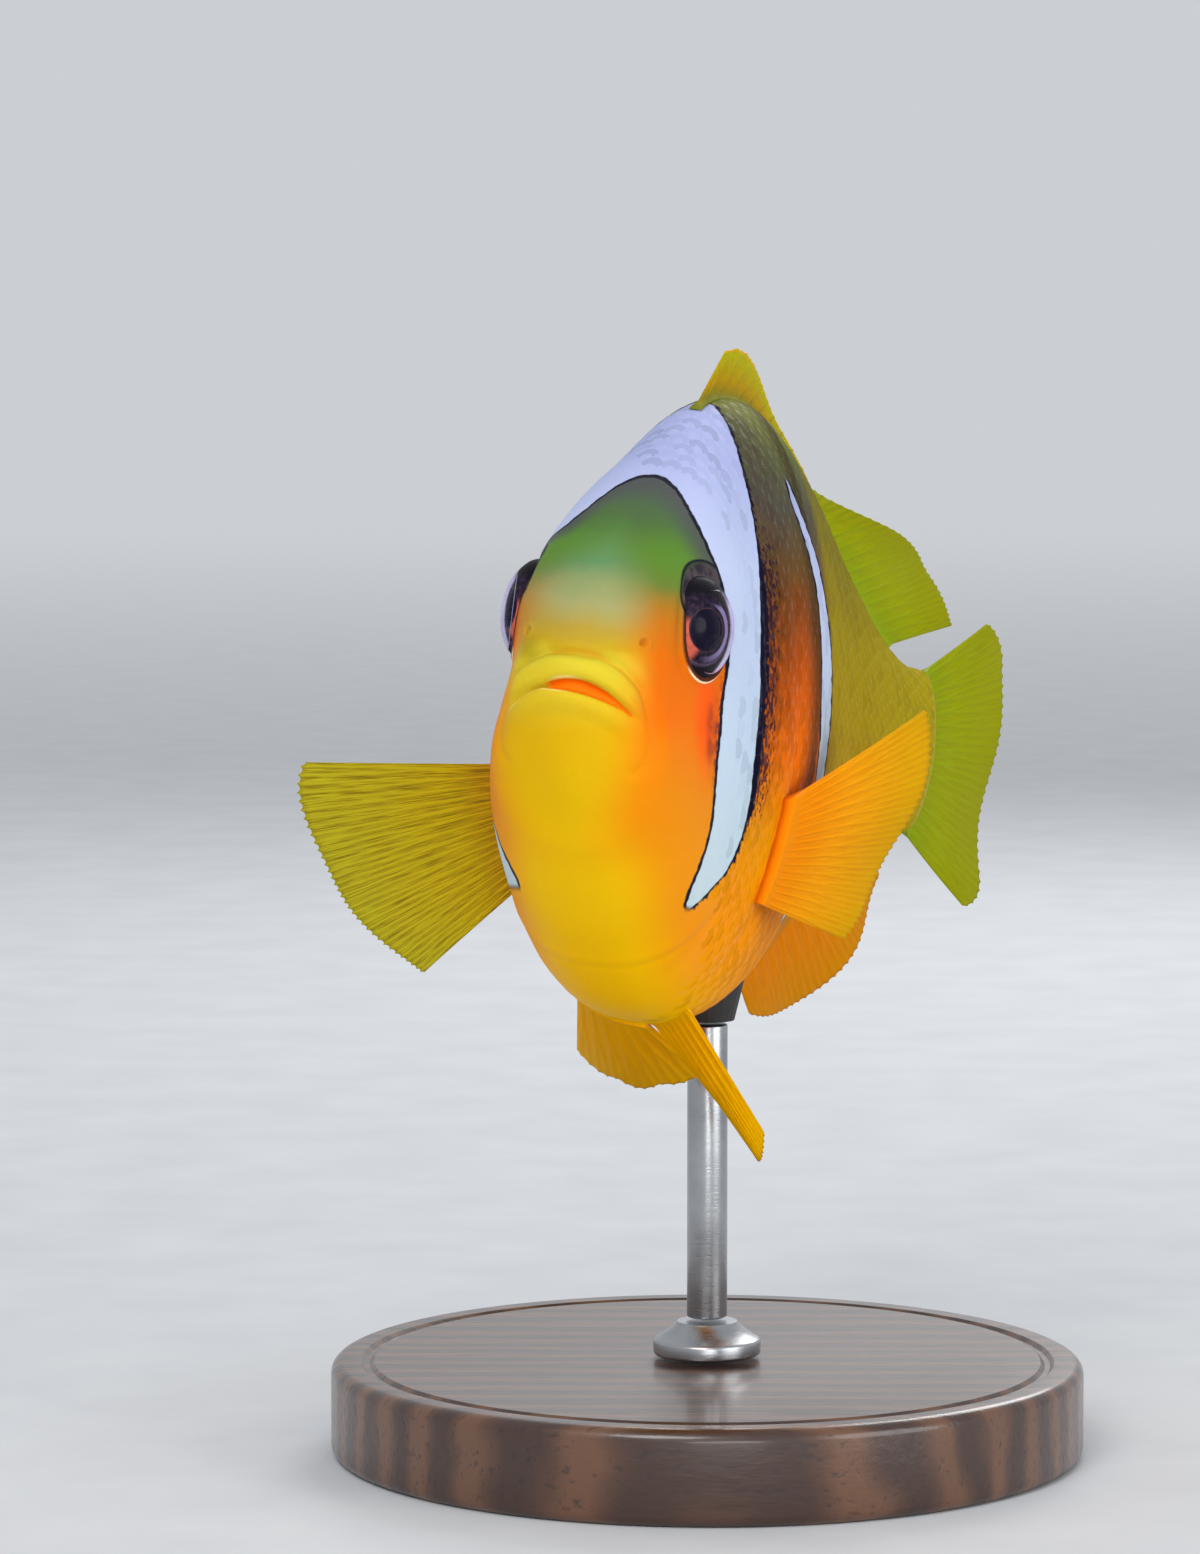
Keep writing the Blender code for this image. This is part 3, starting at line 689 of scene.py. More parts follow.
FACE = ((-22, 250, 176, 4), (-15, 234, 184, 4), (-8, 222, 176, 4), (-2.5, 214, 168, 10), (0.5, 210, 184, 40),
        (1.8, 208, 190, 48), (3, 190, 156, 28), (4.4, 176, 148, 54), (6.2, 158, 156, 100), (9, 96, 140, 92),
        (12, 86, 140, 64), (15, 78, 92, 80))
CHEEK = ((-21, 250, 142, 2), (-12, 238, 146, 4), (-6, 228, 134, 6), (-1, 234, 110, 2), (3, 222, 106, 2),
         (5.5, 180, 108, 20), (8, 104, 118, 48), (12, 76, 108, 52), (16, 70, 78, 76))
# the lowest stops are the fish's own orange-yellow, raised near full brightness as painted light for the
# underside that the lamps reach less
FLANK = ((-21, 254, 158, 0), (-13, 248, 144, 0), (-8, 238, 148, 4), (-2, 244, 112, 2), (3, 208, 88, 6),
         (8, 140, 68, 18), (12, 104, 74, 34), (16, 78, 76, 62), (20, 92, 98, 56), (23, 120, 124, 52))
REAR = ((-20, 216, 118, 0), (-12, 200, 126, 0), (-5, 178, 132, 2), (2, 166, 138, 4), (8, 156, 136, 6),
        (14, 130, 116, 14), (22, 104, 100, 30))


# %% Paint
HEAD_TO_FLANK = (17.4, 18.8)  # distances from the snout over which one set of colours becomes the next
FLANK_TO_REAR = (41, 47)
REAR_TO_TAIL = (60, 90)
LOW_END_AHEAD = 3.6  # how much further forward the head's bar ends on the right
EDGE_SOFTNESS = 0.07  # half the width over which a bar's edge blends, in millimetres
HOOD_PLACE = (-0.1, 0.42)  # the dark hood over the eye, in shares of the eye's radii


def within(first, second):
    """1 where both distances inwards from an edge are above 0."""
    return first.step(-EDGE_SOFTNESS, EDGE_SOFTNESS) * second.step(-EDGE_SOFTNESS, EDGE_SOFTNESS)


def ground_colour(paint, x, s, z, place, mottle):
    """Orange, yellow and green of the fish without its bars, with its underside lifted as painted light and a
    patch of painted shade beside the right nostril.
    """
    wide = paint.math("ABSOLUTE", x)
    level = z + paint.noise(place, 0.16, 3) * 3.0 - 1.5
    face, cheek, flank, rear = (level.ramp(*stops) for stops in (FACE, CHEEK, FLANK, REAR))
    # the throat is the fish's own yellow, brightened to full as painted light for the underside that the
    # lamps reach less
    throat = z.step(-7, -13) * wide.step(7, 2.5) * s.step(36, 26)
    dark_side = paint.spot((wide, s, z), (7.6, 11.6, -1.4), (3, 1.5, 4.0), 0.9)
    return paint.layers(
        paint.mix((x * 0.3 + wide * 0.9 + s).step(3.9, 11.0), face, cheek),
        (s.step(*HEAD_TO_FLANK), flank),
        (throat, z.ramp((-20, 255, 190, 0), (-14, 240, 188, 2))),
        (s.step(*FLANK_TO_REAR), rear),
        (paint.spot((wide, s, z), (4.0, 7.6, 10.0), (4.8, 4.5, 3.0), 0.9) * 0.5, (84, 140, 34)),
        (s.step(*REAR_TO_TAIL) * 0.8, (168, 150, 14)),
        (paint.spot((wide, s, z), (7, 10.6, -0.5), (5, 2.6, 5.5), 0.9), (244, 88, 4)),
        (dark_side * mottle.step(0.15, 0.75), (120, 44, 30)),
        # painted shade: an olive patch beside the right nostril, on the fish's right side only
        (paint.spot((x, s, z), (-3.6, 2.4, 2.6), (1.7, 2.4, 1.5), 0.9) * 0.6, (158, 132, 2)),
    )


def paint_fish(paint):
    """Adds the markings' nodes. Returns the colour, the white of the bars, the mottling and the place."""
    x, s, z, place = paint.attribute("place")
    ahead, above, ring, _ = paint.attribute("eye")
    slit, gap, inside, _ = paint.attribute("lips")
    wide = paint.math("ABSOLUTE", x)
    mottle = paint.noise(place, 0.9, 3)
    jag = paint.noise(place, 2.2, 2)
    wobble = paint.noise(place, 1.5, 2) * 0.36 - 0.18

    # the head's bar, whose lower end lies further forward on the right
    front = z.curve(-13.6, 12.1, HEAD_BAR_FRONT, 10, 16)
    crown_front = x.curve(-7, 7, CROWN_FRONT, 8, 16)
    front = front + z.step(9.5, 11.8) * (crown_front - front)
    front = front - x.step(-2, -5) * z.step(-2, -10) * LOW_END_AHEAD
    past_front = s - front + wobble
    before_rear = z.curve(-13.6, 22.4, HEAD_BAR_REAR, 13, 27) - s - wobble
    ahead_of_bar = past_front.step(0.1, -0.1)
    behind_bar = before_rear.step(0.1, -0.1)
    bar = within(past_front, before_rear) * z.step(-13.6, -13.2)
    on_flank = z.step(-9, -2) * z.step(14, 8)
    strip = before_rear + on_flank * 1.3 + jag * 1.6 - 0.35
    edge = strip.step(-0.15, 0.15) * past_front.step(-0.5, -0.34) * z.step(-13.9, -13.3)

    # the dark skin along it
    crown = past_front.step(-3.4, -0.6) * z.step(5.5, 10) * ahead_of_bar
    dusk = before_rear.step(-12, -2) * z.step(-12, 4) * mottle.step(0.2, 0.7)
    dusk = dusk * behind_bar * z.step(23.5, 20.5)
    fore_bar = s.step(31.5, 37.5) * s.step(39.6, 38.6) * z.step(-11, -3)
    near = before_rear.step(-5.0, -1.4) * z.step(-8, -3) * behind_bar * z.step(15, 9)
    specks = (jag + near * 0.16).step(0.56, 0.62) * near.step(0.0, 0.15)
    fore_specks = past_front.step(-1.1, -0.4) * z.step(4, 1) * ahead_of_bar
    fore_specks = fore_specks * z.step(-7, -2) * jag.step(0.5, 0.58)

    # the body's bar
    past_body = s - z.curve(-14, 18.4, BODY_BAR_FRONT, 32, 47) + wobble
    before_body = z.curve(-14, 18.4, BODY_BAR_REAR, 32, 47) - s - wobble
    body_edge = past_body.step(-0.9, -0.5) * before_body.step(-0.9, -0.5)
    body_end = z.step(-14, -13) * z.step(18.3, 18.0)
    bar = paint.math("MAXIMUM", bar, within(past_body, before_body) * body_end)
    edge = paint.math("MAXIMUM", edge, body_edge * body_end)

    # round the eye
    hood = paint.spot((ahead, above), HOOD_PLACE, (0.98, 0.86), 0.10)
    hood_line = paint.spot((ahead, above), HOOD_PLACE, (1.02, 0.90), 0.04) - hood
    edge = paint.math("MAXIMUM", edge, hood_line * above.step(0.0, 0.3))
    rim = ring.step(0.95, 0.90) * ring.step(0.7, 0.8)

    # round the mouth
    # painted shade: a darker orange-brown tint along the upper lip's crease
    crease = (slit - gap).band(2.0, 0.35, 0.9) * s.step(4, 2) * wide.step(5.4, 3.4)
    # painted highlights: pale cream lines along the lower lip's rim and just under the upper lip's edge
    lower_lip_highlight = (slit + gap).band(-0.12, 0.13, 0.8) * x.step(0.6, -1.2) * x.step(-4.9, -4.1)
    upper_lip_highlight = paint.spot((slit - gap, x), (0.12, -0.3), (0.14, 1.6), 0.8)
    lip_highlight = paint.math("MAXIMUM", lower_lip_highlight, upper_lip_highlight) * s.step(6, 4)
    open_part = inside.step(0.15, 0.5) * x.step(-2.1, -1.4)

    colour = paint.layers(
        ground_colour(paint, x, s, z, place, mottle),
        (crown * 0.85, (74, 76, 76)),
        (dusk * 0.9, z.ramp((0, 78, 42, 4), (9, 78, 50, 18), (16, 76, 64, 58))),
        (fore_bar * 0.78, (58, 44, 8)),
        (specks * 0.85, (40, 20, 38)),
        (fore_specks * 0.8, (60, 26, 44)),
        (hood * (1 - bar), paint.mix(mottle.step(0.4, 0.6), (74, 66, 70), (44, 38, 46))),
        (rim * 0.9, above.ramp((-1, 22, 12, 18), (-0.4, 36, 18, 22), (0.3, 20, 14, 24))),
        (ring.band(0.92, 0.024, 0.6) * above.step(-0.62, -0.84), (236, 214, 170)),
        (ring.step(0.80, 0.72), NAVY),
        (edge, NAVY),
        (bar, paint.mix(mottle * 0.07, z.ramp(*WHITE), (140, 150, 190))),
        (crease * 0.35, (200, 130, 10)),
        (lip_highlight * 0.65, (248, 232, 140)),
        (open_part, paint.mix(inside.step(0.4, 1.0), (220, 110, 4), (252, 122, 2))),
    )
    return colour, bar, mottle, place


# %% [markdown]
# Wet skin is glossy but soft: light enters it, spreads a little and comes out warmer. The roughness changes
# with the same clouds as the colour, and a fine grain breaks the reflections.

# %% Finish of the skin
def painted_finish(name, gloss):
    """The finish of skin and scales, with its colour, the white of the bars and the place."""
    flesh = Finish(name, 0.5, Subsurface_Weight=0.10, Subsurface_Scale=0.0005, Specular_IOR_Level=gloss)
    flesh.set("Subsurface Radius", (1.0, 0.4, 0.15))
    colour, bar, mottle, place = paint_fish(flesh)
    flesh.set("Roughness", mottle * 0.22 + 0.36)
    return flesh, colour, bar, place


skin_finish, colour, _, place = painted_finish("clownfish_skin", 0.05)
skin_finish.set("Base Color", colour)
skin_finish.set("Normal", skin_finish.bump(skin_finish.noise(place, 5.0, 3), 0.03 * MM))
FLESH = ("head", "lower_jaw", "upper_lip", "gill_cover_left", "gill_cover_right", "trunk", "tail_stalk")
finish_piece(skin, skin_finish, FLESH)

# %% [markdown]
# ## The eyes
# A fish's eye is a flattened ball with a big round pupil that stands out a little, because the lens fills it.
# The iris lies round it like a shallow dish. Each eye is a sphere whose front is shaped into that dish and
# lens, and the clear cornea is a thin shell of its own over it.

# %% Shape of an eye
PUPIL = 0.42  # radius as a share of the eye's
GAZE_AHEAD = 0.38  # how far forward of the middle of the ball the pupil sits
PUPIL_LEAN = math.radians(20)  # it leans back and is a little narrower across
PUPIL_STRETCH = (0.97, 0.91)
IRIS = 0.80
LENS_RISE = 0.09


def place_in_eye(side, ahead, above, out):
    """World places of points given as shares of the eye's radii."""
    axes = eye_axes(side)
    centre = EYE_PLACE * np.array((side, 1, 1))
    radii = EYE_RADII - 0.05
    shares = ((out, radii[0], axes[0]), (ahead, radii[1], axes[1]), (above, radii[2], axes[2]))
    return world_points(centre + sum(share[:, None] * radius * axis for share, radius, axis in shares))


def sphere_of_eye(name, side, depth):
    """A sphere whose pole looks out of the head, its front shaped by depth(radius, distance from pupil)."""
    ball = add_primitive(bpy.ops.mesh.primitive_uv_sphere_add, name, segments=96, ring_count=72)
    mesh = ball.data
    ahead, above, out = read_rows(mesh.vertices, "co").T.copy()
    gaze = ahead - GAZE_AHEAD
    cosine, sine = math.cos(PUPIL_LEAN), math.sin(PUPIL_LEAN)
    from_pupil = np.hypot((gaze * cosine + above * sine) / PUPIL_STRETCH[0],
                          (above * cosine - gaze * sine) / PUPIL_STRETCH[1])
    out = np.where(out > 0, depth(np.hypot(ahead, above), from_pupil), out)
    mesh.vertices.foreach_set("co", place_in_eye(side, ahead, above, out).ravel())
    write_attribute(mesh, "gaze", np.stack((gaze, above, from_pupil), -1))
    write_attribute(mesh, "ball", np.stack((ahead, above, np.hypot(ahead, above)), -1))
    smooth_outward(ball)
    return ball


def eye_depth(radius, from_pupil):
    """The iris, a little flatter than the ball, with the rounded lens standing out in the pupil."""
    ball = np.sqrt(np.clip(1 - radius**2, 0, 1))
    iris = 0.90 * ball + 0.03 * smooth(from_pupil, PUPIL, IRIS)
    lens = iris - 0.03 + LENS_RISE * np.sqrt(np.clip(1 - (from_pupil / PUPIL) ** 2, 0, 1))
    front = np.where(from_pupil < PUPIL, lens, iris)
    return np.minimum(front, ball - 0.03 * smooth(radius, 1.0, 0.85))


# %% Finish of the eyes
eye = Finish("fish_eye", 0.25, Coat_Weight=0.05, Coat_Roughness=0.04, Specular_IOR_Level=0.08)
ahead, above, radius, gaze = eye.attribute("gaze")
fleck = eye.noise(eye.stretched(gaze, (1, 1, 0.2)), 9, 4, 0.6)
salmon = eye.spot((ahead, above), (0.42, -0.26), (0.36, 0.50), 0.45)
# partly a pale rim of the iris and partly a painted reflection of the cornea's edge: a lavender arc behind
# and below the pupil
rim_and_reflection_arc = radius.band(0.585, 0.075, 0.4) * ahead.step(0.12, -0.3) * above.step(0.52, 0.40)
rim_and_reflection_arc = rim_and_reflection_arc * (above.step(-0.6, -0.3) * 0.65 + 0.35)
low = radius.band(0.70, 0.05, 0.6) * above.step(-0.2, -0.5)
eye.set("Base Color", eye.layers(
    fleck.ramp((0.35, 12, 8, 20), (0.5, 30, 20, 38), (0.7, 58, 42, 58)),
    (salmon, eye.mix(fleck, (226, 112, 84), (150, 52, 50))),
    (rim_and_reflection_arc * 0.7, (150, 134, 184)),
    (low * 0.4, (120, 96, 120)),
    (radius.band(PUPIL, 0.03), (64, 40, 52)),
    (radius.step(0.66, 0.78), (12, 8, 18)),
    (radius.step(PUPIL + 0.01, PUPIL - 0.01), (14, 10, 30)),
))
from_middle = eye.attribute("ball")[2]
eye.set("Roughness", from_middle.step(0.62, 0.78) * 0.5 + fleck * 0.12 + 0.06)

cornea = Finish("clear_cornea", 0.05, IOR=1.38)
# painted reflection: where the shell is seen edge-on it turns opaque lavender, less over the top of the ball,
# standing in for what its edge reflects
glancing = cornea.node("LayerWeight", {"Blend": 0.5}, "Facing")
height_on_ball = cornea.attribute("ball")[1]
reflection_share = height_on_ball.step(0.45, 0.65) * -0.65 + 0.85
cornea.set("Alpha", glancing.step(0.64, 0.74) * reflection_share)
reflection_tint = cornea.noise(cornea.here(), 700, 2)
cornea.set("Base Color", reflection_tint.ramp((0.3, 176, 162, 214), (0.7, 204, 192, 232)))

# %% Both eyes
CORNEA_EDGE = 0.80
CORNEA_WALL = 0.04 * MM


def cornea_depth(radius, from_pupil):
    return np.sqrt(np.clip(1 - radius**2, 0, 1))


def add_cornea(name, side):
    """The cap of a slightly larger ball, given a thin wall."""
    cap = sphere_of_eye(name, side, cornea_depth)
    outer = read_rows(cap.data.attributes["ball"].data, "vector")[:, 2] > CORNEA_EDGE
    centre = Vector(place_in_eye(side, *(np.zeros((3, 1))))[0])
    out = turn @ Vector(eye_axes(side)[0])
    for vertex, beyond in zip(cap.data.vertices, outer):
        vertex.select = bool(beyond or (vertex.co - centre).dot(out) < 0)
    for face in cap.data.polygons:
        face.select = any(cap.data.vertices[index].select for index in face.vertices)
    for edge in cap.data.edges:
        edge.select = any(cap.data.vertices[index].select for index in edge.vertices)
    bpy.ops.object.mode_set(mode="EDIT")
    bpy.ops.mesh.delete(type="VERT")
    bpy.ops.object.mode_set(mode="OBJECT")
    wall = cap.modifiers.new("Wall", "SOLIDIFY")
    wall.thickness = CORNEA_WALL
    wall.offset = -1
    bpy.ops.object.modifier_apply(modifier=wall.name)
    return cap


for side, name in ((1, "left"), (-1, "right")):
    finish_piece(sphere_of_eye("eyeball_" + name, side, eye_depth), eye, ["eye_" + name])
    finish_piece(add_cornea("cornea_" + name, side), cornea)

# %% [markdown]
# ## The fins
# A fin is a thin skin stretched over bony rays. The rays fan out from the root, split in two towards the
# margin, and stand up as ridges on both faces, while the skin between them sinks and ends in small scallops.
# Each fin starts as a grid whose columns run along the rays. Its weights say how thick it is at each point,
# and a Solidify modifier then gives it two faces and a closed edge.

# %% A grid shaped into a fin
COLUMNS_PER_RAY = 8
FIN_WALL = 0.95 * MM  # thickness where the weight is 1, at the fleshy root
FLESHY_SHARE = 0.16  # share of the rays that thick skin covers


def ray_ridges(u, v, rays, split):
    """1 on a ray and 0 between rays. Each ray parts in two beyond the share split of its length."""
    off = np.abs((u * rays) % 1 - 0.5)
    branch = 0.24 * smooth(v, split, split + 0.35)
    return np.exp(-(((off - branch) / (0.13 - 0.04 * v)) ** 2))


def add_fin(name, path, rays, rows, wave=0.0, split=0.4, sink=1.3 * MM, scallop=0.012):
    """A fin on a path of root(u) and tip(u). Wave ripples the margin, and sink is how far the root reaches
    into the body."""
    root, tip = path
    columns = rays * COLUMNS_PER_RAY
    grid = add_primitive(bpy.ops.mesh.primitive_grid_add, name, x_subdivisions=columns, y_subdivisions=rows)
    mesh = grid.data
    across, along = (read_rows(mesh.vertices, "co")[:, :2].T + 1) / 2
    ridge = ray_ridges(across, along, rays, split)
    margin = 1 - scallop * along**3 * (1 - ridge)
    places = []
    for u, v in zip(across.tolist(), along * margin):
        foot, end = root(u), tip(u)
        ray = end - foot
        beside = (tip(min(u + 0.02, 1)) - tip(max(u - 0.02, 0))).normalized()
        face = ray.cross(beside).normalized()
        start = foot - ray.normalized() * sink
        point = start.lerp(end, v)
        lift = wave * v * v * math.sin(2 * math.pi * (1.6 * u + 0.25))
        places.append(posed(point + face * lift))
    mesh.vertices.foreach_set("co", np.array(places).ravel())
    write_attribute(mesh, "ray", np.stack((across, along, ridge), -1))
    flesh = smooth(along, FLESHY_SHARE, 0)
    thin = (0.30 + 0.70 * ridge) * (0.62 - 0.44 * along)
    weights = grid.vertex_groups.new(name="thickness")
    for index, weight in enumerate(np.maximum(flesh, thin)):
        weights.add((index,), float(weight), "REPLACE")
    wall = grid.modifiers.new("Thickness", "SOLIDIFY")
    wall.thickness = FIN_WALL
    wall.offset = 0
    wall.vertex_group = weights.name
    wall.use_quality_normals = True
    bpy.ops.object.modifier_apply(modifier=wall.name)
    smooth_outward(grid)
    return grid


# %% [markdown]
# Light shines a little through a fin, and its colour runs from the warm flesh at the root to clear yellow
# at the margin. The skin between the rays is darker than the rays, in fine uneven streaks that are partly
# its own tone and partly painted shade of the raised rays.


# %% Finish of a fin
def fin_finish(name, root, middle, margin, streak, streaks, edge=None):
    """Colours from root to margin, and the colour and strength of the streaks between the rays, which are
    partly the skin's own tone and partly painted shade of the rays.
    """
    fin = Finish(name, 0.5, Subsurface_Weight=0.25, Subsurface_Scale=0.0008, Specular_IOR_Level=0.01)
    fin.set("Subsurface Radius", (1.0, 0.6, 0.2))
    u, v, ridge, ray = fin.attribute("ray")
    cloud = fin.noise(fin.here(), 160, 3)
    thread = fin.noise(fin.stretched(ray, (260, 6, 0)), 1.0, 3, 0.6)
    # the darker skin between the rays is partly its own tone and partly painted shade of the raised rays
    between = (1 - ridge) * thread.step(0.35, 0.65)
    colour = (v + cloud * 0.3 - 0.15).ramp((0.04, *root), (0.42, *middle), (0.95, *margin))
    colour = fin.mix(between * v.step(0.06, 0.25) * streaks, colour, streak)
    if edge:
        colour = fin.mix(v.step(0.93, 0.985) * 0.7, colour, edge)
    fin.set("Base Color", colour)
    fin.set("Roughness", cloud * 0.2 + 0.34)
    along_ray = fin.stretched(ray, (0, 1, 0))
    joints = fin.node("TexWave", {"Vector": along_ray, "Scale": 22.0, "Distortion": 1.5}, "Fac",
                      bands_direction="Y")
    fin.set("Normal", fin.bump(joints * ridge * 0.5 + thread, 0.04 * MM))
    return fin


# %% [markdown]
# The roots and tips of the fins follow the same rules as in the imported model: a fin on the back or belly
# leans towards the tail, the tail is a fan, and the paired fins stand out from the flank and the breast.


# %% Paths of the fins on the straight fish
GAP = 0.3 * MM
SPINE_LENGTH = 6.9 * MM
SOFT_RAY_LENGTH = 16.5 * MM
ANAL_RAY_LENGTH = 10.5 * MM
TAIL_LENGTH = 20 * MM
TAIL_SPREAD = math.radians(19)
PECTORAL_LENGTH = 22.5 * MM
PELVIC_LENGTH = 15.2 * MM
ROOT_CLEARANCE = 0.65 * MM
BELLY_CLEARANCE = 0.1 * MM


def slope(u):
    """0 up to u = 0 and 1 from u = 1, smooth between them."""
    u = min(max(u, 0), 1)
    return u * u * (3 - 2 * u)


def round_share(away, roundness):
    """How far out a section still reaches at a share of its height or width from the middle."""
    return (1 - min(away, 1.0) ** roundness) ** (1 / roundness)


def flank_point(s, z):
    """Point beside the left flank of the straight body at that height."""
    back, belly, side, level = section(s)
    shape, span = (BACK_ROUNDNESS, back - level) if z > level else (BELLY_ROUNDNESS, belly + level)
    share = round_share(abs(z - level) / span, through(shape, s))
    return Vector((share * side + ROOT_CLEARANCE, s, z))


def underside_point(s, x):
    """Point under the belly of the straight body at that distance from the middle."""
    belly, side, level = section(s)[1:]
    share = round_share(abs(x) / side, through(BELLY_ROUNDNESS, s))
    return Vector((x, s, level - (belly + level) * share - BELLY_CLEARANCE))


def ray_along(sweep, fall):
    """Direction of a ray that is swept back from the side and falls below the level, both in degrees."""
    back, down = math.radians(sweep), math.radians(fall)
    return Vector((math.cos(back) * math.cos(down), math.sin(back) * math.cos(down), -math.sin(down)))


def blend(ends, u):
    return ends[0] + (ends[1] - ends[0]) * u


def median_path(profile, upward, ends, length, lean):
    """Root and tip of a fin in the middle plane, on the back (upward 1) or the belly (-1)."""

    def root(u):
        s = blend(ends, u)
        return Vector((0, s, upward * (MM * through(profile, s) + GAP)))

    def tip(u):
        tilt = math.radians(blend(lean, u))
        return root(u) + Vector((0, math.sin(tilt), upward * math.cos(tilt))) * length(u)

    return root, tip


def tail_path():
    top, bottom = MM * through(BACK, STANDARD_LENGTH), -MM * through(BELLY, STANDARD_LENGTH)

    def root(u):
        return Vector((0, STANDARD_LENGTH + GAP, bottom + (top - bottom) * u))

    def tip(u):
        across = 2 * u - 1
        corner = max(abs(across) - 0.7, 0) / 0.3
        length = TAIL_LENGTH * (0.94 + 0.06 * min(abs(across) / 0.7, 1) ** 2 - 0.22 * corner**2)
        return root(u) + Vector((0, math.cos(across * TAIL_SPREAD), math.sin(across * TAIL_SPREAD))) * length

    return root, tip


def to_side(path, side):
    return lambda u: Vector((path(u).x * side, path(u).y, path(u).z))


def pectoral_path(side, sweep, rise, droop):
    """Root and tip of a fin on the flank, swept back from straight out, from its upper to its lowest ray."""

    def root(u):
        return flank_point((28.6 - 1.6 * u) * MM, (-4.4 - 8.2 * u) * MM)

    def tip(u):
        length = PECTORAL_LENGTH * (1 - 0.5 * u) * (1 - 0.12 * (1 - u) ** 8)
        return root(u) + ray_along(sweep, -rise + (rise + droop) * u) * length

    return to_side(root, side), to_side(tip, side)


def pelvic_path(side, swing, fall, arch, inner, pointed, drawn, lobed):
    """Root and tip of a fin under the breast, from its outer to its inner ray. Pointed is how much longer its
    middle rays are, drawn how far its tips draw together and lobed how deep its three lobes are cut."""

    def root(u):
        return underside_point((27.3 + 2.5 * u) * MM, (4.2 + (inner - 4.2) * u) * MM)

    def tip(u):
        lobes = lobed * (1 - abs(math.sin(3 * math.pi * u)))
        length = PELVIC_LENGTH * (1 - 0.05 * u**2 + pointed * math.sin(math.pi * u) - lobes)
        drop = blend(fall, u) + arch * math.sin(math.pi * u)
        return root(u + (0.5 - u) * drawn) + ray_along(90 - blend(swing, u), drop) * length

    return to_side(root, side), to_side(tip, side)


# %% [markdown]
# The back carries one fin in two parts. Ten stiff spines hold up the front one, whose margin dips between
# them, and soft rays fan out in the rear one.

# %% Fins in the middle plane
SPINES = 10


def spiny_length(u):
    dips = abs(math.sin(math.pi * SPINES * u))
    return SPINE_LENGTH * (1 - 0.77 * slope((u - 0.1) / 0.65)) * (1 - 0.04 * dips)


def soft_length(u):
    return SOFT_RAY_LENGTH * (0.09 + 0.91 * slope(u / 0.6)) * (1 - 0.18 * slope((u - 0.7) / 0.3))


def anal_length(u):
    return ANAL_RAY_LENGTH * (1 - (0.5 if u < 0.5 else 0.45) * (2 * u - 1) ** 2)


back_finish = fin_finish("back_fin", (116, 120, 34), (184, 146, 6), (178, 178, 8), (120, 92, 6), 0.45,
                         (224, 150, 10))
rear_finish = fin_finish("rear_fins", (136, 158, 12), (150, 160, 2), (142, 148, 0), (122, 112, 2), 0.4)
anal_finish = fin_finish("anal_fin", (232, 128, 0), (222, 128, 0), (206, 132, 0), (172, 92, 0), 0.5)
for name, path, rays, rows, shape, finish, node in (
    ("fin_spines", median_path(BACK, 1, (25 * MM, 55 * MM), spiny_length, (52, 82)), SPINES, 22,
     {"split": 2.0}, back_finish, "dorsal_fin_spines"),
    ("fin_back_rays", median_path(BACK, 1, (55.2 * MM, 79 * MM), soft_length, (74, 78)), 15, 26,
     {"wave": 0.5 * MM}, rear_finish, "dorsal_fin_rays"),
    ("fin_anal", median_path(BELLY, -1, (53 * MM, 79 * MM), anal_length, (44, 66)), 14, 26,
     {"wave": 0.5 * MM}, anal_finish, "anal_fin"),
    ("fin_tail", tail_path(), 16, 34, {"wave": 0.5 * MM, "split": 0.25}, rear_finish, "tail_fin"),
):
    finish_piece(add_fin(name, path, rays, rows, **shape), finish, [node])

# %% [markdown]
# The paired fins steer. The right pectoral is held out flat and the left one swept back, and the pelvic fins
# hang under the breast, the left one folded lengthwise.

# %% Paired fins
# the right pectoral has the strongest streaks of all the fins, partly its own tone and partly painted shade
# of its rays
pectoral_finish = fin_finish("pectoral_fin", (190, 112, 18), (196, 168, 20), (178, 170, 34), (92, 72, 18),
                             0.85)
left_finish = fin_finish("left_pectoral_fin", (246, 140, 8), (244, 158, 14), (206, 156, 10), (206, 112, 6),
                         0.45)
# the pelvic fins' own gold is brightened to full as painted light, making up for the body's shade over the
# right fin
pelvic_finish = fin_finish("pelvic_fin", (255, 176, 0), (255, 176, 0), (248, 180, 0), (230, 140, 0), 0.2)
for name, path, rays, rows, shape, finish, node in (
    ("fin_pectoral_left", pectoral_path(1, 74, 23, 8), 17, 34, {"wave": 0.4 * MM},
     left_finish, "pectoral_fin_left"),
    ("fin_pectoral_right", pectoral_path(-1, 15, -5, 43), 17, 36, {"wave": 0.5 * MM},
     pectoral_finish, "pectoral_fin_right"),
    ("fin_pelvic_left", pelvic_path(1, (17, 20), (30, 31), 4, 1.2, 0.10, 0.5, 0), 7, 30,
     {"sink": 2 * MM, "scallop": 0.006}, pelvic_finish, "pelvic_fin_left"),
    ("fin_pelvic_right", pelvic_path(-1, (14, -4), (16, 12), 5, -0.8, 0, 0, 0.06), 7, 30,
     {"sink": 2 * MM, "scallop": 0.008}, pelvic_finish, "pelvic_fin_right"),
):
    finish_piece(add_fin(name, path, rays, rows, **shape), finish, [node])

# %% [markdown]
# ## The coat of scales
# Thin overlapping scales cover the body from behind the eyes to the root of the tail. One scale is modelled:
# a round plate with a low dome, its front edge buried in the skin and its free edge lifted towards the tail.
# It is then laid in staggered rows round the body, and the thousands of copies are joined into a left and a
# right coat. The face in front of the first bar is smooth, as on the real fish.


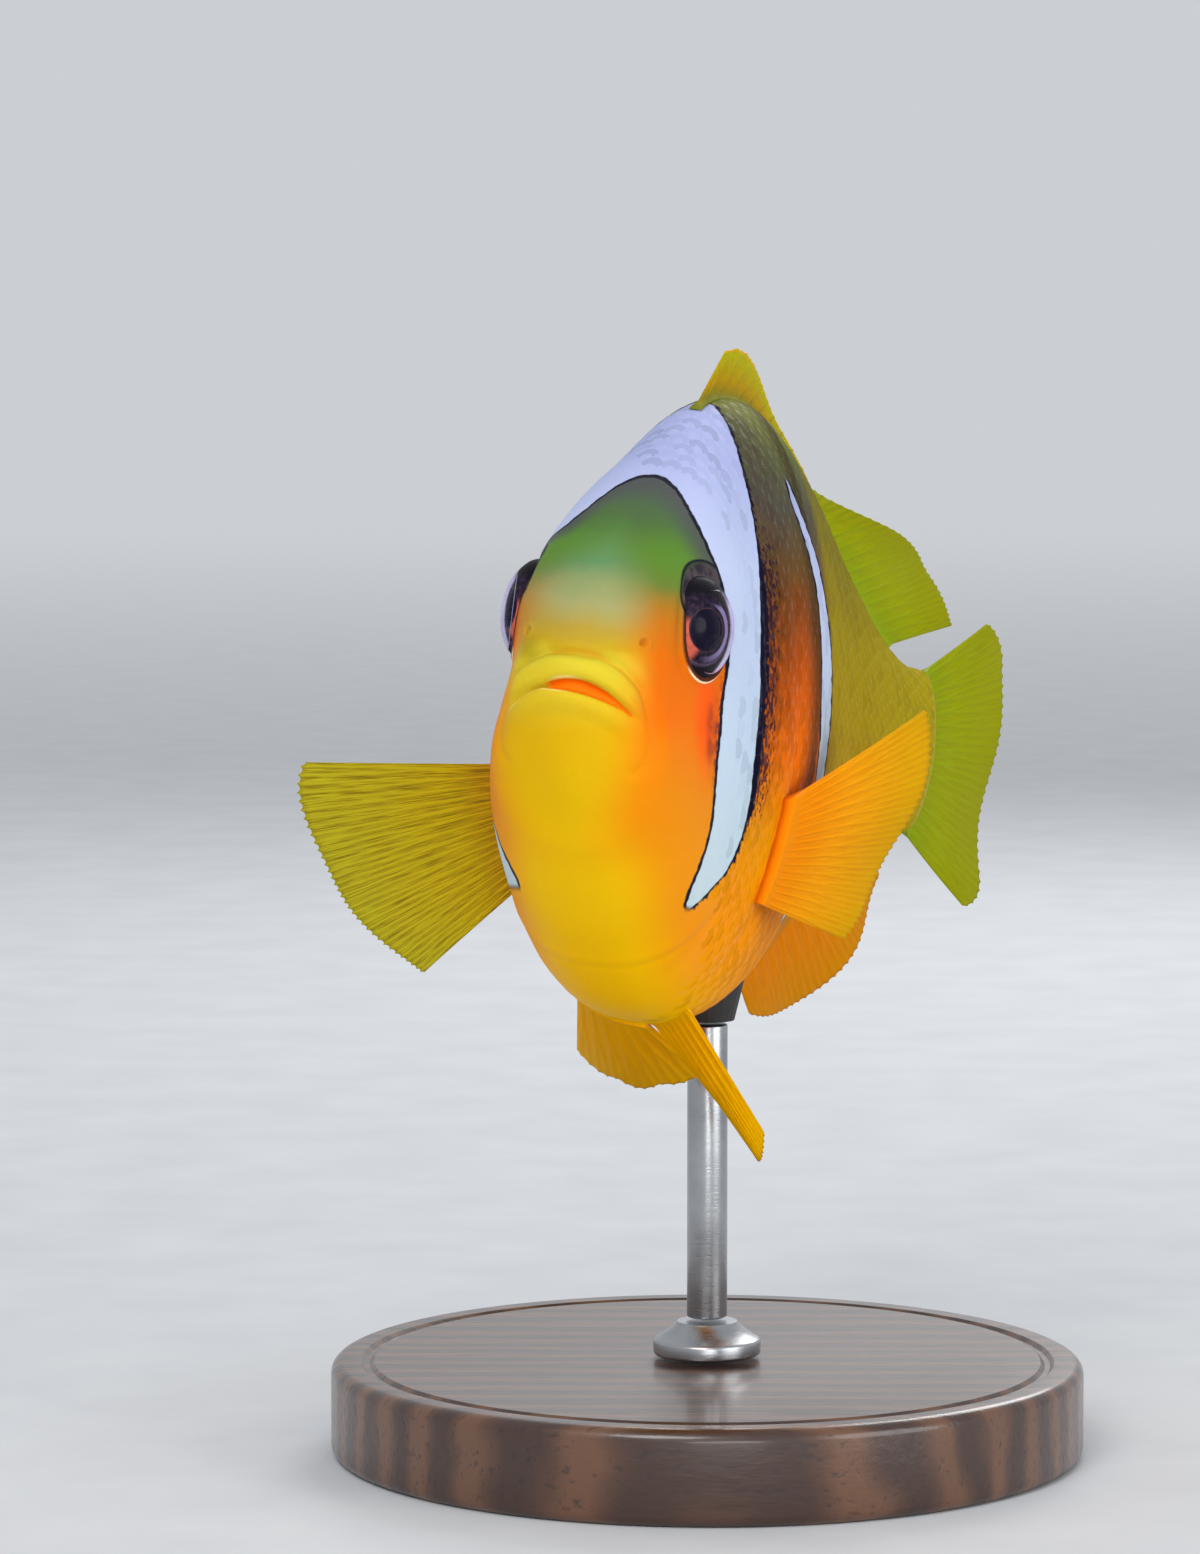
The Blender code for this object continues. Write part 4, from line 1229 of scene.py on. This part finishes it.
# %% One scale
def model_scale():
    """Corners and faces of a plate whose X runs towards the tail, Y across, and Z through its levels."""
    plate = add_primitive(bpy.ops.mesh.primitive_circle_add, "one_scale", vertices=10, fill_type="NGON")
    with editing():
        bpy.ops.mesh.extrude_region_move(TRANSFORM_OT_translate={"value": (0, 0, 1)})
        bpy.ops.mesh.inset(thickness=0.4)
        bpy.ops.transform.translate(value=(0, 0, 0.6))
    corners = np.array([vertex.co[:] for vertex in plate.data.vertices])
    # on the fish X, Y and Z of the plate are left-handed, so its corners are taken the other way round
    faces = [tuple(face.vertices)[::-1] for face in plate.data.polygons]
    bpy.data.objects.remove(plate)
    return corners, faces


scale_corners, scale_faces = model_scale()
print("one scale:", len(scale_corners), "corners", sum(len(face) - 2 for face in scale_faces), "triangles")

# %% Rows of scales
ROW_PITCH = 1.25  # millimetres between rows
FIRST_ROW = 14.0
LAST_ROW = 87.5
BARE_CHIN = 12  # how much later the rows start under the head
COAT_ENDS = (8, 88.6)  # no scale reaches beyond these distances
SCALE_ZONES = ((14, 60), (60, 44), (72, 30))  # from this distance on, so many scales round the body
SCALE_HALF_LENGTH = 1.12
SCALE_OVERLAP = 0.60  # half width as a share of the spacing
ROOT_HEIGHT = -0.11
EDGE_HEIGHT = 0.02
PLATE = 0.032
PATCH = 0.0015  # half the width of a scale's patch in the unwrapped coat
chance = random.Random(11)


def scale_seats():
    """Rows as (distance from the snout, share round the body, scales in the row)."""
    seats = []
    row, s = 0, FIRST_ROW
    while s < LAST_ROW:
        count = [number for start, number in SCALE_ZONES if s >= start][-1]
        shares = [((k + 0.5 * (row % 2) + 0.25) / count) % 1 for k in range(count)]
        starts = [FIRST_ROW + BARE_CHIN * max(0, 1 - abs(share - 0.5) / 0.16) for share in shares]
        seats += [(s, share, count) for share, start in zip(shares, starts) if s > start]
        row, s = row + 1, s + ROW_PITCH
    return seats


def on_skin(grid, s, share):
    """Values of a grid of the skin at distances from the snout and shares round the body."""
    line = np.interp(s, rings / MM, np.arange(len(rings)))
    i = np.minimum(line.astype(int), len(rings) - 2)
    column = (share % 1) * SEGMENTS
    k = column.astype(int) % SEGMENTS
    a, b = (line - i)[..., None], (column - column.astype(int))[..., None]
    after = (k + 1) % SEGMENTS
    here, beyond = (grid[row, k] * (1 - b) + grid[row, after] * b for row in (i, i + 1))
    return here * (1 - a) + beyond * a


girth = np.linalg.norm(np.roll(bare, -1, 1) - bare, axis=2).sum(1)


def coat_mesh(name, seats):
    """One mesh of all the scales on these seats, with what their finish reads and their unwrapped patches."""
    s0, share0, count = (np.array(values)[:, None] for values in zip(*seats))
    size = np.array([[chance.uniform(0.94, 1.06)] for _ in seats])
    spin = np.array([[math.radians(chance.gauss(0, 4))] for _ in seats])
    lot = np.array([[chance.random()] for _ in seats])
    x, y, level = scale_corners.T[:, None, :]
    narrowed = np.where(x < 0, 1 - 0.25 * x * x, 1) * y
    tailward = (x * np.cos(spin) - narrowed * np.sin(spin)) * SCALE_HALF_LENGTH * size
    width = np.interp(s0, rings / MM, girth) / count * SCALE_OVERLAP * size
    across = (x * np.sin(spin) + narrowed * np.cos(spin)) * width
    s = np.clip(s0 + tailward, *COAT_ENDS)
    share = share0 + across / np.interp(s, rings / MM, girth)
    calm = 0.45 + 0.55 * smooth(s0, 17, 27)
    height = (ROOT_HEIGHT + (EDGE_HEIGHT - ROOT_HEIGHT) * (x + 1) / 2 + PLATE * level) * calm
    points = on_skin(skin_points, s, share) + on_skin(bare_normals, s, share) * height[..., None]
    mesh = bpy.data.meshes.new(name)
    corners = scale_corners.shape[0]
    faces = [tuple(index + n * corners for index in face) for n in range(len(seats)) for face in scale_faces]
    mesh.from_pydata([tuple(point) for point in world_points(points)], [], faces)
    mesh.update()
    coat = bpy.data.objects.new(name, mesh)
    bpy.context.scene.collection.objects.link(coat)
    far_from_eye = np.broadcast_to((9.0, 9.0, 3.0), points.shape)
    no_mouth = np.broadcast_to((9.0, 0, 0), points.shape)
    plate = np.stack(np.broadcast_arrays((x + 1) / 2, y, lot), -1)
    keys = (("place", on_skin(bare, s, share)), ("eye", far_from_eye), ("lips", no_mouth), ("plate", plate))
    for key, values in keys:
        write_attribute(mesh, key, values)
    middle = np.interp(s0, rings / MM, ring_share)
    patch = np.stack(np.broadcast_arrays(1 - share0 + PATCH * y, middle + PATCH * x), -1).reshape(-1, 2)
    unwrap = mesh.uv_layers.new(name="OFBake")
    unwrap.uv.foreach_set("vector", patch[loop_corners(mesh)].ravel())
    mesh.shade_smooth()
    mesh.set_sharp_from_angle(angle=math.radians(50))
    return coat


# %% Finish of the scales
scale_finish, colour, bar, place = painted_finish("clownfish_scales", 0.006)
toward_edge, _, lot, _ = scale_finish.attribute("plate")
lip = toward_edge.step(0.8, 1.0) * 0.3 * (1 - bar)
colour = scale_finish.mix(lip, colour, (70, 40, 30))
tone = lot.step(0.4, 1.0) * 0.16
scale_finish.set("Base Color", scale_finish.mix(tone, colour, (60, 46, 30), "MULTIPLY"))
growth = scale_finish.node("TexWave", {"Vector": place, "Scale": 2.6, "Distortion": 2.0}, "Fac")
scale_finish.set("Normal", scale_finish.bump(growth, 0.01 * MM))

# %% Lay the scales
seats = scale_seats()
for side, keep in (("left", lambda share: share <= 0.5), ("right", lambda share: share > 0.5)):
    coat = coat_mesh("scales_" + side, [seat for seat in seats if keep(seat[1])])
    finish_piece(coat, scale_finish)
print("scales:", len(seats))

# %% [markdown]
# ## The stand
# A museum keeps the stand plain so that the eye goes to the fish. A round base of dark varnished wood is
# turned with a soft edge, a steel rod rises from a collar, and a rubber pad carries the belly.


# %% Turned pieces
def turned(name, profile, sides):
    """A piece turned about Z: a circle is drawn out along (radius, height) steps, then closed."""
    (radius, height), steps = profile[0], profile[1:]
    piece = add_primitive(bpy.ops.mesh.primitive_circle_add, name, vertices=sides, radius=radius,
                          fill_type="NGON", location=(0, 0, height))
    bpy.ops.object.transform_apply(location=True, rotation=True, scale=True)
    with editing():
        for next_radius, next_height in steps:
            bpy.ops.mesh.extrude_region_move(TRANSFORM_OT_translate={"value": (0, 0, next_height - height)})
            share = next_radius / radius
            bpy.ops.transform.resize(value=(share, share, 1), center_override=(0, 0, next_height))
            radius, height = next_radius, next_height
    bpy.ops.object.shade_smooth_by_angle(angle=math.radians(35))
    return piece


def rounded(radius, bottom, top, edge, steps=5):
    """Profile of a disk with rounded edges, as (radius, height) pairs from the bottom up."""
    turns = [math.pi / 2 * k / steps for k in range(steps + 1)]
    low = [(radius - edge + edge * math.sin(a), bottom + edge - edge * math.cos(a)) for a in turns]
    high = [(radius - edge + edge * math.cos(a), top - edge + edge * math.sin(a)) for a in turns]
    return low + high


# %% Base, collar and rod
BASE_GROOVE = ((2.2, 0.02), (2.5, 0.3), (2.9, 0.3), (3.2, 0.02))  # millimetres in from the rim, and down
low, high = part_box("stand_base")
profile = rounded(high.x, low.z, high.z, 0.9 * MM)
profile += [(high.x - inwards * MM, high.z - down * MM) for inwards, down in BASE_GROOVE]
base = turned("base", profile, 144)
low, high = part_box("stand_collar")
profile = rounded(high.x, low.z, (low.z + high.z) / 2, 0.25 * MM, 3)
profile += [(0.62 * high.x, high.z - 0.35 * MM), (0.56 * high.x, high.z)]
collar = turned("collar", profile, 64)
low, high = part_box("stand_rod")
rod = turned("rod", rounded(high.x, low.z, high.z, 0.15 * MM, 3), 48)

# %% Finishes of the stand
wood = Finish("varnished_walnut", 0.3, Coat_Weight=0.5, Coat_Roughness=0.12)
along_grain = wood.stretched(wood.here(), (14, 120, 60))
figure = wood.noise(wood.stretched(wood.here(), (30, 160, 90)), 1.0, 3, 0.55)
whirl = wood.node("TexNoise", {"Vector": along_grain, "Scale": 0.8}, 1)
warped = wood.node("MixRGB", {0: 0.12, 1: along_grain, 2: whirl})
bands = wood.node("TexWave", {"Vector": warped, "Scale": 0.9, "Distortion": 5.0, "Detail": 3.0,
                              "Detail Scale": 1.4}, "Fac", bands_direction="Y")
pores = wood.noise(wood.stretched(wood.here(), (260, 2600, 1400)), 1.0, 2, 0.7)
wood.set("Base Color", wood.layers(
    bands.ramp((0.1, 58, 34, 22), (0.55, 84, 52, 34), (0.9, 106, 70, 46)),
    (pores.step(0.55, 0.7) * 0.6, (30, 17, 11)),
    (figure * 0.35, (46, 27, 18)),
))
wood.set("Roughness", pores * 0.3 + 0.22)
wood.set("Normal", wood.bump(pores * -1, 0.04 * MM))
finish_piece(base, wood, ["stand_base"])

steel = Finish("brushed_steel", 0.3, Metallic=1.0)
brushed = steel.noise(steel.stretched(steel.here(), (900, 900, 9000)), 1.0, 2, 0.6)
handled = steel.noise(steel.here(), 260, 3)
steel.set("Base Color", handled.ramp((0.35, 158, 160, 163), (0.7, 184, 186, 188)))
steel.set("Roughness", brushed * 0.16 + 0.16 + handled * 0.12)
steel.set("Normal", steel.bump(brushed, 0.01 * MM))
finish_piece(collar, steel, ["stand_collar"])
finish_piece(rod, steel, ["stand_rod"])

rubber = Finish("soft_rubber", 0.7)
dust = rubber.noise(rubber.here(), 900, 4, 0.6)
rubber.set("Base Color", dust.ramp((0.4, 34, 34, 36), (0.7, 52, 51, 52)))
rubber.set("Roughness", dust * 0.3 + 0.5)
rubber.set("Normal", rubber.bump(dust, 0.03 * MM))
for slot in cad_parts["stand_pad"].material_slots:
    slot.material = rubber.material
